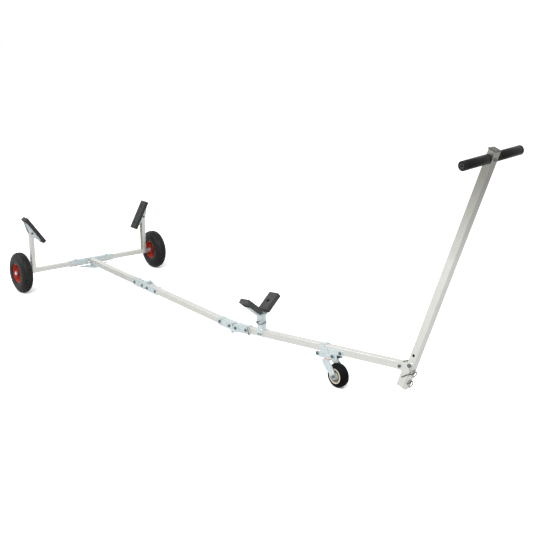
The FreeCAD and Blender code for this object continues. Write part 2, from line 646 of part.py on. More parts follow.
# Arms, posts and pads, right and left
hub_inner = "(Sizes.half_track - Sizes.hub_length / 2)"
hub_outer = "(Sizes.half_track + Sizes.hub_length / 2)"
arm_end = "(%s - Sizes.arm_end_gap)" % hub_inner
post_half = "(%s + Sizes.tube_wall)" % ARM
post_top = "(Sizes.post_pivot_height - Sizes.wheel_radius)"
ear_face = "(%s + Sizes.clearance)" % post_half
ear_outer = "(%s + Sizes.plate)" % ear_face
pad_base = "(Sizes.post_width / 2 + 2 * Sizes.clearance)"
pad_seat = "(%s + Sizes.plate)" % pad_base
for hand, side in SIDES:
    word = side.title()

    def span(low, high):
        """The lower end of a stretch between two distances from the centre plane, on this side."""
        return low if hand > 0 else "-1 * (%s)" % high

    tube = square_tube(word + "ArmTube", "Sizes.arm_size", "Sizes.arm_pivot_place", arm_end)
    tube.Placement = FreeCAD.Placement(FreeCAD.Vector(), FreeCAD.Rotation(AXES["Z"], 90 * hand))
    pivot = ("0", "%d * Sizes.arm_pivot_place" % hand, "0")
    eye = rod(word + "ArmEye", ARM, "Sizes.arm_size", (pivot[0], pivot[1], "-1 * " + ARM))
    plug_low = span("%s - Sizes.stub_plug" % arm_end, arm_end)
    plug = block(word + "ArmPlug", ("-1 * " + ARM, plug_low, "-1 * " + ARM),
                 ("Sizes.arm_size", "Sizes.stub_plug", "Sizes.arm_size"))
    arm = cut(word + "Arm", fuse(word + "ArmSolid", [tube, eye, plug]), [
        through(word + "ArmEyeBore", "Sizes.arm_bolt_radius + Sizes.pin_clearance", "Sizes.arm_size",
                pivot, "Z"),
        through(word + "ArmStubBore", "Sizes.stub_radius", "Sizes.stub_depth",
                ("0", "%d * %s" % (hand, arm_end), "0"), "Y"),
    ])
    keep("arm_%s_tube" % side, arm, axle_frame)
    keep("arm_%s_fold_bolt" % side, bolt(
        word + "ArmBolt", bracket_half, pivot, "Z", "Sizes.arm_bolt_radius",
        "Sizes.arm_bolt_radius + Sizes.head_overhang"), axle_frame)
    stub_low = "%s - Sizes.stub_depth" % arm_end
    nut_low = "%s + 2 * Sizes.clearance" % hub_outer
    stub_end = "%s + 2 * Sizes.clearance + Sizes.head_height" % nut_low
    collar_end = "%s - 2 * Sizes.clearance" % hub_inner
    keep("arm_%s_stub_axle" % side, fuse(word + "Stub", [
        rod(word + "StubShaft", "Sizes.stub_radius", "%s - (%s)" % (stub_end, stub_low),
            ("0", span(stub_low, stub_end), "0"), "Y"),
        rod(word + "StubCollar", "Sizes.stub_collar_radius", "%s - %s" % (collar_end, arm_end),
            ("0", span(arm_end, collar_end), "0"), "Y"),
        hexagon(word + "StubNut", "Sizes.stub_nut_radius", "Sizes.head_height",
                ("0", span(nut_low, nut_low + " + Sizes.head_height"), "0"), "Y"),
    ]), axle_frame)

    # Side post: a channel with its web outside, straddling the arm, with a bore for the tilt bolt
    post_inner = "Sizes.post_place - Sizes.post_width / 2"
    post_outer = "Sizes.post_place + Sizes.post_width / 2"
    post_low = span(post_inner, post_outer)
    hollow_low = span(post_inner + " - Sizes.margin", post_outer + " - Sizes.tube_wall")
    tilt_point = ("0", "%d * Sizes.post_place" % hand, post_top)
    post = fuse(word + "PostSolid", [
        block(word + "PostBox", ("-1 * " + post_half, post_low, "-1 * Sizes.post_foot"),
              ("2 * " + post_half, "Sizes.post_width", "%s + Sizes.post_foot" % post_top)),
        through(word + "PostCrown", "Sizes.post_width / 2", post_half, tilt_point, "X"),
    ])
    post_height = "%s + Sizes.post_foot + Sizes.post_width" % post_top
    keep("arm_%s_post" % side, cut(word + "Post", post, [
        block(word + "PostHollow", ("-1 * " + ARM, hollow_low, "-1 * Sizes.post_foot - Sizes.margin"),
              ("Sizes.arm_size", "Sizes.post_width - Sizes.tube_wall + Sizes.margin", post_height)),
        block(word + "PostSaddle", ("-1 * " + ARM, post_low, "-1 * Sizes.post_foot"),
              ("Sizes.arm_size", "Sizes.post_width", "%s + Sizes.post_foot" % ARM)),
        block(word + "PostGap", ("-1 * " + ARM, post_low, post_top),
              ("Sizes.arm_size", "Sizes.post_width", "Sizes.post_width")),
        through(word + "PostBore", PIN_HOLE, post_half + " + Sizes.margin", tilt_point, "X"),
    ]), axle_frame)
    keep("arm_%s_tilt_bolt" % side, bolt(word + "TiltBolt", ear_outer + " + Sizes.clearance",
                                         tilt_point, "X"), axle_frame)

    # Pad and its channel, in a frame at the tilt bolt with X along the trolley and Y up the slope
    tilt_frame = axle_frame.multiply(frame_at(
        (0, hand * size("post_place"), size("post_pivot_height - wheel_radius")),
        hand * size("pad_slope_" + side), "X"))
    plate_half = "Sizes.pad_plate_length / 2"
    ears = []
    for end, direction in (("Rear", -1), ("Front", 1)):
        ear = doc.addObject("PartDesign::Body", "%sPadEar%s" % (word, end))
        ear_outline = outline(ear, ear.Name + "Outline", "YZ_Plane", [[
            ("-1 * " + plate_half, pad_seat),
            (plate_half, pad_seat),
            (plate_half, "%s - Sizes.pad_ear_end" % pad_base),
            ("Sizes.pad_ear_half", "-1 * Sizes.pad_ear_depth"),
            ("-1 * Sizes.pad_ear_half", "-1 * Sizes.pad_ear_depth"),
            ("-1 * " + plate_half, "%s - Sizes.pad_ear_end" % pad_base),
        ]], "%d * %s" % (direction, ear_face))
        pad(ear, ear.Name + "Pad", ear_outline, "Sizes.plate", backwards=direction < 0)
        ears.append(ear)
    base = block(word + "PadPlate", ("-1 * " + ear_face, "-1 * " + plate_half, pad_base),
                 ("2 * " + ear_face, "Sizes.pad_plate_length", "Sizes.plate"))
    keep("pad_%s_channel" % side, cut(word + "PadChannel", fuse(word + "PadChannelSolid", ears + [base]), [
        through(word + "PadChannelBore", PIN_HOLE, ear_outer + " + Sizes.margin", ("0", "0", "0"), "X"),
    ]), tilt_frame)
    pad_half = "Sizes.pad_length / 2"
    skirt_start = "(%s + Sizes.clearance)" % plate_half
    rubber = fuse(word + "PadSolid", [
        block(word + "PadBlock", ("-1 * Sizes.pad_width / 2", "-1 * " + pad_half, pad_seat),
              ("Sizes.pad_width", "Sizes.pad_length", "Sizes.pad_thickness")),
        block(word + "PadSkirtLow", ("-1 * Sizes.pad_width / 2", "-1 * " + pad_half,
                                     "%s - Sizes.pad_skirt" % pad_seat),
              ("Sizes.pad_width", "%s - %s" % (pad_half, skirt_start), "Sizes.pad_thickness")),
        block(word + "PadSkirtHigh", ("-1 * Sizes.pad_width / 2", skirt_start,
                                      "%s - Sizes.pad_skirt" % pad_seat),
              ("Sizes.pad_width", "%s - %s" % (pad_half, skirt_start), "Sizes.pad_thickness")),
    ])
    keep("pad_%s_rubber" % side, cut(word + "Pad", rubber, [
        rod(word + "PadHole" + end, "Sizes.bolt_radius", "2 * Sizes.pad_thickness",
            ("0", "%d * Sizes.pad_hole_place" % direction, pad_base))
        for end, direction in (("Low", -1), ("High", 1))]), tilt_frame)

# Wheels: a tyre on a moulded rim with a draughted hub, lightening holes and ribs
bead_half = "Sizes.tyre_bead_width / 2"
flank_run = "((Sizes.tyre_width - Sizes.tyre_bead_width) / 2)"
flank_growth = "(%s / (Sizes.tyre_flank_start - Sizes.tyre_bead))" % flank_run
flange_foot = "(%s + Sizes.clearance)" % bead_half
flange_edge = "(%s + Sizes.rim_flange * %s)" % (flange_foot, flank_growth)
flange_face = "%s + Sizes.rim_flange_width" % flange_edge
barrel_inner = "Sizes.tyre_bead - Sizes.rim_wall"
hub_bore = "Sizes.stub_radius + Sizes.pin_clearance"
for hand, side in SIDES:
    word = side.title()
    wheel_frame = axle_frame.multiply(frame_at((0, hand * size("half_track"), 0)))
    tyre = doc.addObject("PartDesign::Body", word + "Tyre")
    revolve(tyre, word + "TyreRing", both_ways([
        ("Sizes.tyre_crown_width / 2", "Sizes.wheel_radius"),
        ("Sizes.tyre_shoulder_width / 2", "Sizes.tyre_shoulder_radius"),
        ("Sizes.tyre_width / 2", "Sizes.tyre_flank_end"),
        ("Sizes.tyre_width / 2", "Sizes.tyre_flank_start"),
        (bead_half, "Sizes.tyre_bead"),
    ]))
    keep("wheel_%s_tyre" % side, tyre, wheel_frame)
    rim = doc.addObject("PartDesign::Body", word + "Rim")
    revolve(rim, word + "RimRing", both_ways([
        (flange_foot, "Sizes.tyre_bead"),
        (flange_edge, "Sizes.tyre_bead + Sizes.rim_flange"),
        (flange_face, "Sizes.tyre_bead + Sizes.rim_flange"),
        (flange_face, barrel_inner),
        ("Sizes.rim_web / 2", barrel_inner),
        ("Sizes.rim_web / 2", "Sizes.hub_radius + Sizes.rim_draft"),
        ("Sizes.hub_length / 2", "Sizes.hub_radius"),
        ("Sizes.hub_length / 2", hub_bore),
    ]))
    rib_outline = outline(rim, word + "RimRibOutline", "XZ_Plane", [[
        ("-1 * Sizes.rim_rib / 2", "-1 * Sizes.hub_radius"),
        ("-1 * Sizes.rim_rib / 2", "-1 * (Sizes.tyre_bead - Sizes.rim_wall / 2)"),
        ("Sizes.rim_rib / 2", "-1 * (Sizes.tyre_bead - Sizes.rim_wall / 2)"),
        ("Sizes.rim_rib / 2", "-1 * Sizes.hub_radius"),
    ]])
    rib = pad(rim, word + "RimRib", rib_outline, "Sizes.rim_web + 2 * Sizes.rim_rib_height", midplane=True)
    hole_outline = outline(rim, word + "RimHoleOutline", "XZ_Plane", [
        ("0", "Sizes.rim_hole_place", "Sizes.rim_hole_radius")])
    hole = pocket(rim, word + "RimHole", hole_outline, "2 * Sizes.rim_web")
    spokes = rim.newObject("PartDesign::PolarPattern", word + "RimPattern")
    spokes.Originals = [rib, hole]
    spokes.Axis = (origin_part(rim, "Y_Axis"), [""])
    spokes.Angle = 360
    bind(spokes, "Occurrences", "Sizes.rim_holes")
    rim.Tip = spokes
    doc.recompute()
    keep("wheel_%s_rim" % side, rim, wheel_frame)

# Middle section
middle_bolts = ["Sizes.shoe_near_bolt", "Sizes.shoe_far_bolt",
                "Sizes.middle_length - Sizes.shoe_far_bolt", "Sizes.middle_length - Sizes.shoe_near_bolt"]
keep("drawbar_middle_tube", square_tube(
    "MiddleTube", "Sizes.bar_size", "Sizes.fold_gap", "Sizes.middle_length - " + BEND_GAP,
    [bar_hole(x) for x in middle_bolts]), middle_frame)
keep("fold_1_front_shoe", swing_shoe("Fold1FrontShoe", "Sizes.fold_1_rise", 1), middle_frame)
fold_2_frame = middle_frame.multiply(frame_at((size("middle_length"), 0, 0)))
keep("fold_2_rear_shoe", fixed_shoe("Fold2RearShoe", "Sizes.fold_2_drop", -1), fold_2_frame)
fold_pin("fold_2_pin", fold_2_frame, "-1 * Sizes.fold_2_drop")
cross_bolts("drawbar_middle_bolts", middle_frame, [
    (middle_bolts[0], "0", STRAP_OUTER), (middle_bolts[1], "0", SHOE),
    (middle_bolts[2], "0", SHOE), (middle_bolts[3], "0", SHOE)])

# Front section. The upper corner of its end slopes, so that the folded handle lies clear above it
front_end = "(Sizes.front_length - Sizes.handle_setback)"
socket_bolt = "%s - Sizes.bar_size / 2" % front_end
tab_bolt = "Sizes.castor_place + Sizes.clamp_tab_bolt"
tab_height = "Sizes.clamp_top - Sizes.clamp_tab_half"
lean = "(Sizes.handle_tilt + Sizes.bar_rise) * 1deg"
slant_low = (
    "(Sizes.handle_pivot_rise + Sizes.handle_setback * tan(%s)"
    " - (Sizes.bar_size / 2 + Sizes.swing_gap) / cos(%s))" % (lean, lean))
front_tube = square_tube("FrontTube", "Sizes.bar_size", BEND_GAP, front_end, [
    bar_hole("Sizes.shoe_near_bolt"), bar_hole("Sizes.shoe_far_bolt"), bar_hole(socket_bolt),
    bar_hole(tab_bolt, tab_height)])
slant = outline(front_tube, "FrontTubeSlant", "XZ_Plane", [[
    (front_end, slant_low),
    (front_end, BAR),
    ("%s - (%s - %s) / tan(%s)" % (front_end, BAR, slant_low, lean), BAR),
]])
pocket(front_tube, "FrontTubeMitre", slant, "2 * Sizes.bar_size")
keep("drawbar_front_tube", front_tube, front_frame)
keep("fold_2_front_shoe", swing_shoe("Fold2FrontShoe", "Sizes.fold_2_drop", -1), front_frame)

# Handle socket: two plates on the drawbar's end that reach up to the pivot and down the tail
socket_face = "(%s + Sizes.clearance)" % BAR
socket_outer = "(%s + Sizes.plate)" % socket_face
reach_back = "Sizes.front_length - Sizes.foot_reach"
cheeks = side_plates("SocketCheek", [
    (reach_back, "-1 * " + BAR),
    ("Sizes.front_length", "-1 * " + BAR),
    ("Sizes.front_length", "Sizes.handle_pivot_rise + Sizes.foot_eye_radius"),
    (reach_back, BAR),
], socket_face, [("Sizes.plate_corner", [(reach_back, "-1 * " + BAR), (reach_back, BAR)])])
tails = side_plates("SocketTail", [
    ("-1 * Sizes.foot_rear", "-1 * Sizes.foot_length"),
    ("Sizes.foot_front", "-1 * (Sizes.foot_length - Sizes.foot_step)"),
    ("Sizes.foot_eye_radius", "0"),
    ("-1 * Sizes.foot_eye_radius", "0"),
    ("-1 * Sizes.foot_rear", "-1 * Sizes.bar_size"),
], socket_face, [("Sizes.plate_corner", [("-1 * Sizes.foot_rear", "-1 * Sizes.foot_length")])])
to_handle = front_frame.inverse().multiply(handle_frame)
for tail in tails:
    tail.Placement = to_handle
eyes = side_discs("SocketEye", "Sizes.foot_eye_radius", socket_face, "Sizes.front_length",
                  "Sizes.handle_pivot_rise")
keep("handle_fork", cut("HandleSocket", fuse("HandleSocketSolid", cheeks + tails + eyes), [
    through("SocketPivotBore", "Sizes.handle_bolt_radius + Sizes.pin_clearance",
            socket_outer + " + Sizes.margin", ("Sizes.front_length", "0", "Sizes.handle_pivot_rise")),
    through("SocketBoltBore", BOLT_HOLE, socket_outer + " + Sizes.margin", (socket_bolt, "0", "0")),
]), front_frame)
keep("handle_pivot_bolt", bolt(
    "HandlePivot", socket_outer + " + Sizes.clearance",
    ("Sizes.front_length", "0", "Sizes.handle_pivot_rise"), "Y",
    "Sizes.handle_bolt_radius", "Sizes.handle_bolt_radius + Sizes.head_overhang"), front_frame)

# Keel support: a saddle over the drawbar with a stub, a sleeve on the stub and a V of two blocks
keel_frame = front_frame.multiply(frame_at((size("keel_place"), 0, size("bar_size") / 2)))
stub_half = "(Sizes.bar_size / 2 - Sizes.tube_wall - Sizes.clearance)"
sleeve_half = "(Sizes.bar_size / 2 - Sizes.tube_wall)"
saddle_half = "Sizes.keel_saddle_length / 2"
saddle_side = "Sizes.keel_saddle_drop + Sizes.plate"
stub_hollow = "(%s - Sizes.plate)" % stub_half
keep("keel_saddle", cut("KeelSaddle", fuse("KeelSaddleSolid", [
    block("SaddleTop", ("-1 * " + saddle_half, "-1 * " + SHOE, "0"),
          ("Sizes.keel_saddle_length", "2 * " + SHOE, "Sizes.plate")),
    block("SaddleRight", ("-1 * " + saddle_half, "-1 * " + SHOE, "-1 * Sizes.keel_saddle_drop"),
          ("Sizes.keel_saddle_length", "Sizes.plate", saddle_side)),
    block("SaddleLeft", ("-1 * " + saddle_half, BAR, "-1 * Sizes.keel_saddle_drop"),
          ("Sizes.keel_saddle_length", "Sizes.plate", saddle_side)),
    block("SaddleStub", ("-1 * " + stub_half, "-1 * " + stub_half, "0"),
          ("2 * " + stub_half, "2 * " + stub_half, "Sizes.keel_stub_height")),
]), [block("SaddleHollow", ("-1 * " + stub_hollow, "-1 * " + stub_hollow, "Sizes.plate"),
           ("2 * " + stub_hollow, "2 * " + stub_hollow, "Sizes.keel_stub_height"))]), keel_frame)
vee_base = "(Sizes.keel_vee_height - Sizes.plate)"
keep("keel_sleeve", cut("KeelSleeve", block(
    "KeelSleeveBox", ("-1 * " + BAR, "-1 * " + BAR, "Sizes.keel_post_gap"),
    ("Sizes.bar_size", "Sizes.bar_size", "%s - Sizes.keel_post_gap" % vee_base)),
    [block("KeelSleeveHollow", ("-1 * " + sleeve_half, "-1 * " + sleeve_half, "0"),
           ("2 * " + sleeve_half, "2 * " + sleeve_half, "Sizes.keel_vee_height"))]), keel_frame)
vee = doc.addObject("PartDesign::Body", "KeelVee")
run = "(Sizes.keel_wing_length * cos(Sizes.keel_slope * 1deg))"
climb = "(Sizes.keel_wing_length * sin(Sizes.keel_slope * 1deg))"
wing_in = "(Sizes.plate * sin(Sizes.keel_slope * 1deg))"
wing_up = "(Sizes.plate * cos(Sizes.keel_slope * 1deg))"
bend = "(Sizes.plate * tan(Sizes.keel_slope * 1deg / 2))"
vee_outline = outline(vee, "KeelVeeOutline", "YZ_Plane", [both_ways([
    (BAR, vee_base),
    ("%s + %s" % (BAR, run), "%s + %s" % (vee_base, climb)),
    ("%s + %s - %s" % (BAR, run, wing_in), "%s + %s + %s" % (vee_base, climb, wing_up)),
    ("%s - %s" % (BAR, bend), "%s + Sizes.plate" % vee_base),
])])
pad(vee, "KeelVeePad", vee_outline, "Sizes.keel_wing_width", midplane=True)
vee_opening = outline(vee, "KeelVeeOpening", "XY_Plane", [[
    ("-1 * " + sleeve_half, "-1 * " + sleeve_half), (sleeve_half, "-1 * " + sleeve_half),
    (sleeve_half, sleeve_half), ("-1 * " + sleeve_half, sleeve_half),
]], vee_base)
pocket(vee, "KeelVeeHole", vee_opening, "2 * (Sizes.plate + Sizes.margin)")
keep("keel_vee", vee, keel_frame)
for hand, side in SIDES:
    word = side.title()
    block_frame = keel_frame.multiply(frame_at(
        (0, hand * size("%s - %s" % (BAR, wing_in)), size("%s + %s" % (vee_base, wing_up))),
        hand * size("keel_slope"), "X"))
    block_end = "Sizes.keel_block_start + Sizes.keel_block_length"
    low = "Sizes.keel_block_start" if hand > 0 else "-1 * (%s)" % block_end
    hole_y = "%d * (Sizes.keel_block_start + Sizes.keel_block_length / 2)" % hand
    recess_half = "(Sizes.keel_block_width / 2 - Sizes.keel_block_wall)"
    hollow = cut(word + "KeelHollow", block(word + "KeelHollowBox", (
        "-1 * " + recess_half, low + " + Sizes.keel_block_wall", "-1 * Sizes.margin"),
        ("2 * " + recess_half, "Sizes.keel_block_length - 2 * Sizes.keel_block_wall",
         "Sizes.keel_block_recess + Sizes.margin")), [
            rod(word + "KeelBoss", "Sizes.keel_hole_radius + Sizes.keel_block_wall",
                "2 * Sizes.keel_block_thickness", ("0", hole_y, "-1 * Sizes.keel_block_thickness"))])
    keep("keel_block_%s" % side, cut(word + "KeelBlock", block(word + "KeelBlockBox", (
        "-1 * Sizes.keel_block_width / 2", low, "0"),
        ("Sizes.keel_block_width", "Sizes.keel_block_length", "Sizes.keel_block_thickness")), [
            hollow,
            rod(word + "KeelBlockHole", "Sizes.keel_hole_radius", "2 * Sizes.keel_block_thickness",
                ("0", hole_y, "-1 * Sizes.margin"))]), block_frame)

# Castor clamp: two side plates with a front tab and a rear ear, a strap over the drawbar and the
# castor's plate with its race under it
castor_frame = front_frame.multiply(frame_at((size("castor_place"), 0, 0)))
clamp_floor = "-1 * Sizes.clamp_drop"
tab_low = "Sizes.clamp_top - 2 * Sizes.clamp_tab_half"
ear_top = "Sizes.clamp_ear_radius - Sizes.clamp_bolt_drop"
clamp_sides = side_plates("ClampSide", [
    ("-1 * Sizes.clamp_rear", "Sizes.clamp_top"),
    ("Sizes.clamp_tab", "Sizes.clamp_top"),
    ("Sizes.clamp_tab", tab_low),
    ("Sizes.clamp_front", tab_low),
    ("Sizes.clamp_front", clamp_floor),
    ("-1 * Sizes.clamp_ear", clamp_floor),
    ("-1 * Sizes.clamp_ear", ear_top),
    ("-1 * Sizes.clamp_rear", ear_top),
], BAR, [("Sizes.plate_corner", [
    ("Sizes.clamp_tab", "Sizes.clamp_top"), ("Sizes.clamp_tab", tab_low),
    ("Sizes.clamp_front", clamp_floor)])])
clamp_ears = side_discs("ClampEar", "Sizes.clamp_ear_radius", BAR, "-1 * Sizes.clamp_ear",
                        "-1 * Sizes.clamp_bolt_drop")
strap_height = "%s + Sizes.plate - Sizes.clamp_top" % BAR
clamp = fuse("CastorClampSolid", clamp_sides + clamp_ears + [
    block("ClampStrap", ("-1 * Sizes.clamp_rear", "-1 * " + SHOE, BAR),
          ("Sizes.clamp_strap", "2 * " + SHOE, "Sizes.plate")),
    block("ClampStrapRight", ("-1 * Sizes.clamp_rear", "-1 * " + SHOE, "Sizes.clamp_top"),
          ("Sizes.clamp_strap", "Sizes.plate", strap_height)),
    block("ClampStrapLeft", ("-1 * Sizes.clamp_rear", BAR, "Sizes.clamp_top"),
          ("Sizes.clamp_strap", "Sizes.plate", strap_height)),
    block("ClampPlate", ("-1 * Sizes.clamp_base", "-1 * " + SHOE, clamp_floor + " - Sizes.plate"),
          ("2 * Sizes.clamp_base", "2 * " + SHOE, "Sizes.plate")),
    rod("ClampRace", "Sizes.race_radius",
        "Sizes.castor_head - Sizes.clamp_drop - Sizes.plate - Sizes.clearance",
        ("0", "0", "-1 * Sizes.castor_head + Sizes.clearance")),
])
lower_bolts = [("-1 * Sizes.clamp_ear", "-1 * Sizes.clamp_bolt_drop"),
               ("Sizes.clamp_low_bolt", "-1 * Sizes.clamp_bolt_drop")]
clamp_bores = [
    through("ClampBore%d" % index, BOLT_HOLE, SHOE + " + Sizes.margin", (x, "0", z))
    for index, (x, z) in enumerate(lower_bolts + [("Sizes.clamp_tab_bolt", tab_height)])]
keep("castor_clamp", cut("CastorClamp", clamp, clamp_bores + [
    rod("ClampPinBore", BOLT_HOLE, "Sizes.castor_head", ("0", "0", "-1 * Sizes.castor_head"))]),
    castor_frame)
cross_bolts("drawbar_front_bolts", front_frame, [
    ("Sizes.shoe_near_bolt", "0", STRAP_OUTER), ("Sizes.shoe_far_bolt", "0", SHOE),
    (socket_bolt, "0", socket_outer), (tab_bolt, tab_height, SHOE)] + [
    ("Sizes.castor_place + " + x, z, SHOE) for x, z in lower_bolts])
kingpin_head = "-1 * Sizes.castor_head - Sizes.plate - Sizes.clearance - Sizes.head_height"
keep("castor_kingpin", fuse("CastorKingpin", [
    rod("KingpinShank", "Sizes.bolt_radius", "%s + Sizes.head_height - (%s)" % (clamp_floor, kingpin_head),
        ("0", "0", kingpin_head)),
    hexagon("KingpinHead", "Sizes.head_radius", "Sizes.head_height", ("0", "0", kingpin_head), "Z"),
    hexagon("KingpinNut", "Sizes.head_radius", "Sizes.head_height", ("0", "0", clamp_floor), "Z"),
]), castor_frame)

# Castor fork: two raked legs with round ends under a top plate
leg_face = "(Sizes.castor_width / 2 + Sizes.castor_leg_gap)"
leg_top = "-1 * Sizes.castor_head"
knee = ("-1 * Sizes.castor_leg_rear", "-1 * Sizes.castor_head - Sizes.castor_leg_knee")
hip = ("Sizes.castor_leg_front + Sizes.castor_leg_rake", "-1 * Sizes.castor_head - Sizes.castor_leg_hip")
legs = side_plates("CastorLeg", [
    ("-1 * Sizes.castor_leg_rear", leg_top),
    ("Sizes.castor_leg_front", leg_top),
    hip,
    ("Sizes.castor_trail + Sizes.castor_leg_end", "-1 * " + CASTOR_DROP),
    ("Sizes.castor_trail - Sizes.castor_leg_end * cos(45deg)",
     "-1 * %s - Sizes.castor_leg_end * sin(45deg)" % CASTOR_DROP),
    knee,
], leg_face, [("Sizes.castor_leg_bend", [knee, hip])])
leg_ends = side_discs("CastorLegEnd", "Sizes.castor_leg_end", leg_face, "Sizes.castor_trail",
                      "-1 * " + CASTOR_DROP)
fork_top = block("CastorForkTop", (
    "-1 * Sizes.castor_leg_rear", "-1 * %s - Sizes.plate" % leg_face, leg_top + " - Sizes.plate"),
    ("Sizes.castor_leg_rear + Sizes.castor_leg_front", "2 * (%s + Sizes.plate)" % leg_face, "Sizes.plate"))
axle_point = ("Sizes.castor_trail", "0", "-1 * " + CASTOR_DROP)
keep("castor_fork", cut("CastorFork", fuse("CastorForkSolid", legs + leg_ends + [fork_top]), [
    through("CastorForkBore", "Sizes.castor_axle_radius + Sizes.bolt_clearance",
            leg_face + " + 2 * Sizes.plate", axle_point),
    through("CastorForkPinBore", PIN_HOLE, "2 * Sizes.plate", ("0", "0", leg_top), "Z"),
]), castor_frame)
keep("castor_axle", bolt("CastorAxle", "(%s + Sizes.plate)" % leg_face, axle_point, "Y",
                         "Sizes.castor_axle_radius", "Sizes.castor_axle_radius + Sizes.head_overhang"),
     castor_frame)

# Castor wheel: a solid tyre on a hub with hollow faces and a boss
castor_wheel_frame = castor_frame.multiply(frame_at((size("castor_trail"), 0, -size(CASTOR_DROP))))
castor_face = "Sizes.castor_width / 2"
castor_tyre = doc.addObject("PartDesign::Body", "CastorTyre")
revolve(castor_tyre, "CastorTyreRing", both_ways([
    (castor_face + " - Sizes.castor_shoulder", "Sizes.castor_radius"),
    (castor_face, "Sizes.castor_radius - Sizes.castor_shoulder"),
    (castor_face, "Sizes.castor_hub_radius"),
]))
keep("castor_wheel_tyre", castor_tyre, castor_wheel_frame)
castor_hub = doc.addObject("PartDesign::Body", "CastorHub")
hub_floor = castor_face + " - Sizes.castor_hub_recess"
ring_inner = "Sizes.castor_hub_radius - Sizes.castor_hub_ring"
revolve(castor_hub, "CastorHubRing", both_ways([
    (castor_face, "Sizes.castor_hub_radius"),
    (castor_face, ring_inner),
    (hub_floor, ring_inner),
    (hub_floor, "Sizes.castor_boss_radius"),
    (castor_face, "Sizes.castor_boss_radius"),
    (castor_face, "Sizes.castor_axle_radius + Sizes.pin_clearance"),
]))
keep("castor_wheel_hub", castor_hub, castor_wheel_frame)


def leaning_rod(name, radius, low, high):
    """A cylinder on the T bar's leaning axis, between two distances from the handle's middle."""
    cylinder = rod(name, radius, "(%s) - (%s)" % (high, low), (
        "0", "(%s) * cos(Sizes.grip_tilt * 1deg)" % low,
        "Sizes.handle_length + (%s) * sin(Sizes.grip_tilt * 1deg)" % low), "Y")
    turned = FreeCAD.Rotation(AXES["X"], size("grip_tilt")).multiply(TURN_TO["Y"])
    cylinder.Placement = FreeCAD.Placement(cylinder.Placement.Base, turned)
    return cylinder


# Handle, in a frame at its pivot with Z along the tube
handle_top = "(Sizes.handle_length + Sizes.grip_above - Sizes.cap_height)"
handle = square_tube("HandleTube", "Sizes.bar_size", "-1 * Sizes.handle_tail", handle_top, [
    ("XZ_Plane", "0", "0", "Sizes.handle_bolt_radius + Sizes.pin_clearance"),
    ("XZ_Plane", "Sizes.handle_lock_place", "0", "Sizes.lock_radius")])
handle.Placement = FreeCAD.Placement(FreeCAD.Vector(), FreeCAD.Rotation(AXES["Y"], -90))
keep("handle_tube", cut("Handle", handle, [leaning_rod(
    "HandleGripBore", "Sizes.grip_tube_radius + Sizes.bolt_clearance",
    "-1 * Sizes.bar_size", "Sizes.bar_size")]), handle_frame)
cap_half = "(%s + Sizes.cap_lip)" % BAR
plug_half = "(%s - Sizes.tube_wall - Sizes.clearance)" % BAR
keep("handle_head", fuse("HandleCap", [
    block("HandleCapPlate", ("-1 * " + cap_half, "-1 * " + cap_half, handle_top),
          ("2 * " + cap_half, "2 * " + cap_half, "Sizes.cap_height")),
    block("HandleCapPlug", ("-1 * " + plug_half, "-1 * " + plug_half, handle_top + " - Sizes.cap_plug"),
          ("2 * " + plug_half, "2 * " + plug_half, "Sizes.cap_plug")),
]), handle_frame)
bar_reach = "(Sizes.grip_half - Sizes.grip_inset)"
keep("handle_cross_tube", cut(
    "GripBar", leaning_rod("GripBarOuter", "Sizes.grip_tube_radius", "-1 * " + bar_reach, bar_reach),
    [leaning_rod("GripBarInner", "Sizes.grip_tube_radius - Sizes.tube_wall", "-1 * Sizes.grip_half",
                 "Sizes.grip_half")]), handle_frame)
for hand, side in SIDES:
    word = side.title()
    start, end = "Sizes.grip_start", "Sizes.grip_half"
    if hand < 0:
        start, end = "-1 * Sizes.grip_half", "-1 * Sizes.grip_start"
    keep("handle_grip_%s" % side, cut(word + "Grip", leaning_rod(
        word + "GripOuter", "Sizes.grip_radius", start, end), [
            leaning_rod(word + "GripInner", "Sizes.grip_tube_radius", start + " - Sizes.margin",
                        end + " + Sizes.margin")]), handle_frame)

doc.recompute()
for thing in doc.Objects:
    if "Invalid" in thing.State or "Error" in thing.State:
        raise ValueError("failed object " + thing.Name)
for label, thing in pieces:
    if thing.Shape.isNull() or not thing.Shape.isValid():
        raise ValueError("bad shape " + label)
for label, thing in pieces:
    thing.Shape.exportStep(os.path.join("parts", label + ".step"))
print("pieces", len(pieces))
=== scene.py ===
"""Finish of a folding hand-launching trolley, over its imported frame."""

import json
import math

import bmesh
import bpy
from mathutils import Euler, Matrix, Vector


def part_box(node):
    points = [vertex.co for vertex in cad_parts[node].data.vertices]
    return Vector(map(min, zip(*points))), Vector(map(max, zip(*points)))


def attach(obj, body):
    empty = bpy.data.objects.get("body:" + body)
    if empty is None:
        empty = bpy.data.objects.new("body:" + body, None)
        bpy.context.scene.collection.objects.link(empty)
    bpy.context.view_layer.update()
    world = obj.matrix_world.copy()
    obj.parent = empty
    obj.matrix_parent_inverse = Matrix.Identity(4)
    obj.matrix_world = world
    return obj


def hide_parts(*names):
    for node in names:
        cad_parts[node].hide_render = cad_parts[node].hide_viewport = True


bl_info = {
    "name": "Launching Trolley Finish",
    "version": (1, 0, 0),
    "blender": (4, 5, 0),
    "location": "View3D > Sidebar > Trolley",
    "description": "Dresses a folding boat trolley with tyres, rubber, foam, fasteners and metal finishes",
    "category": "Object",
}

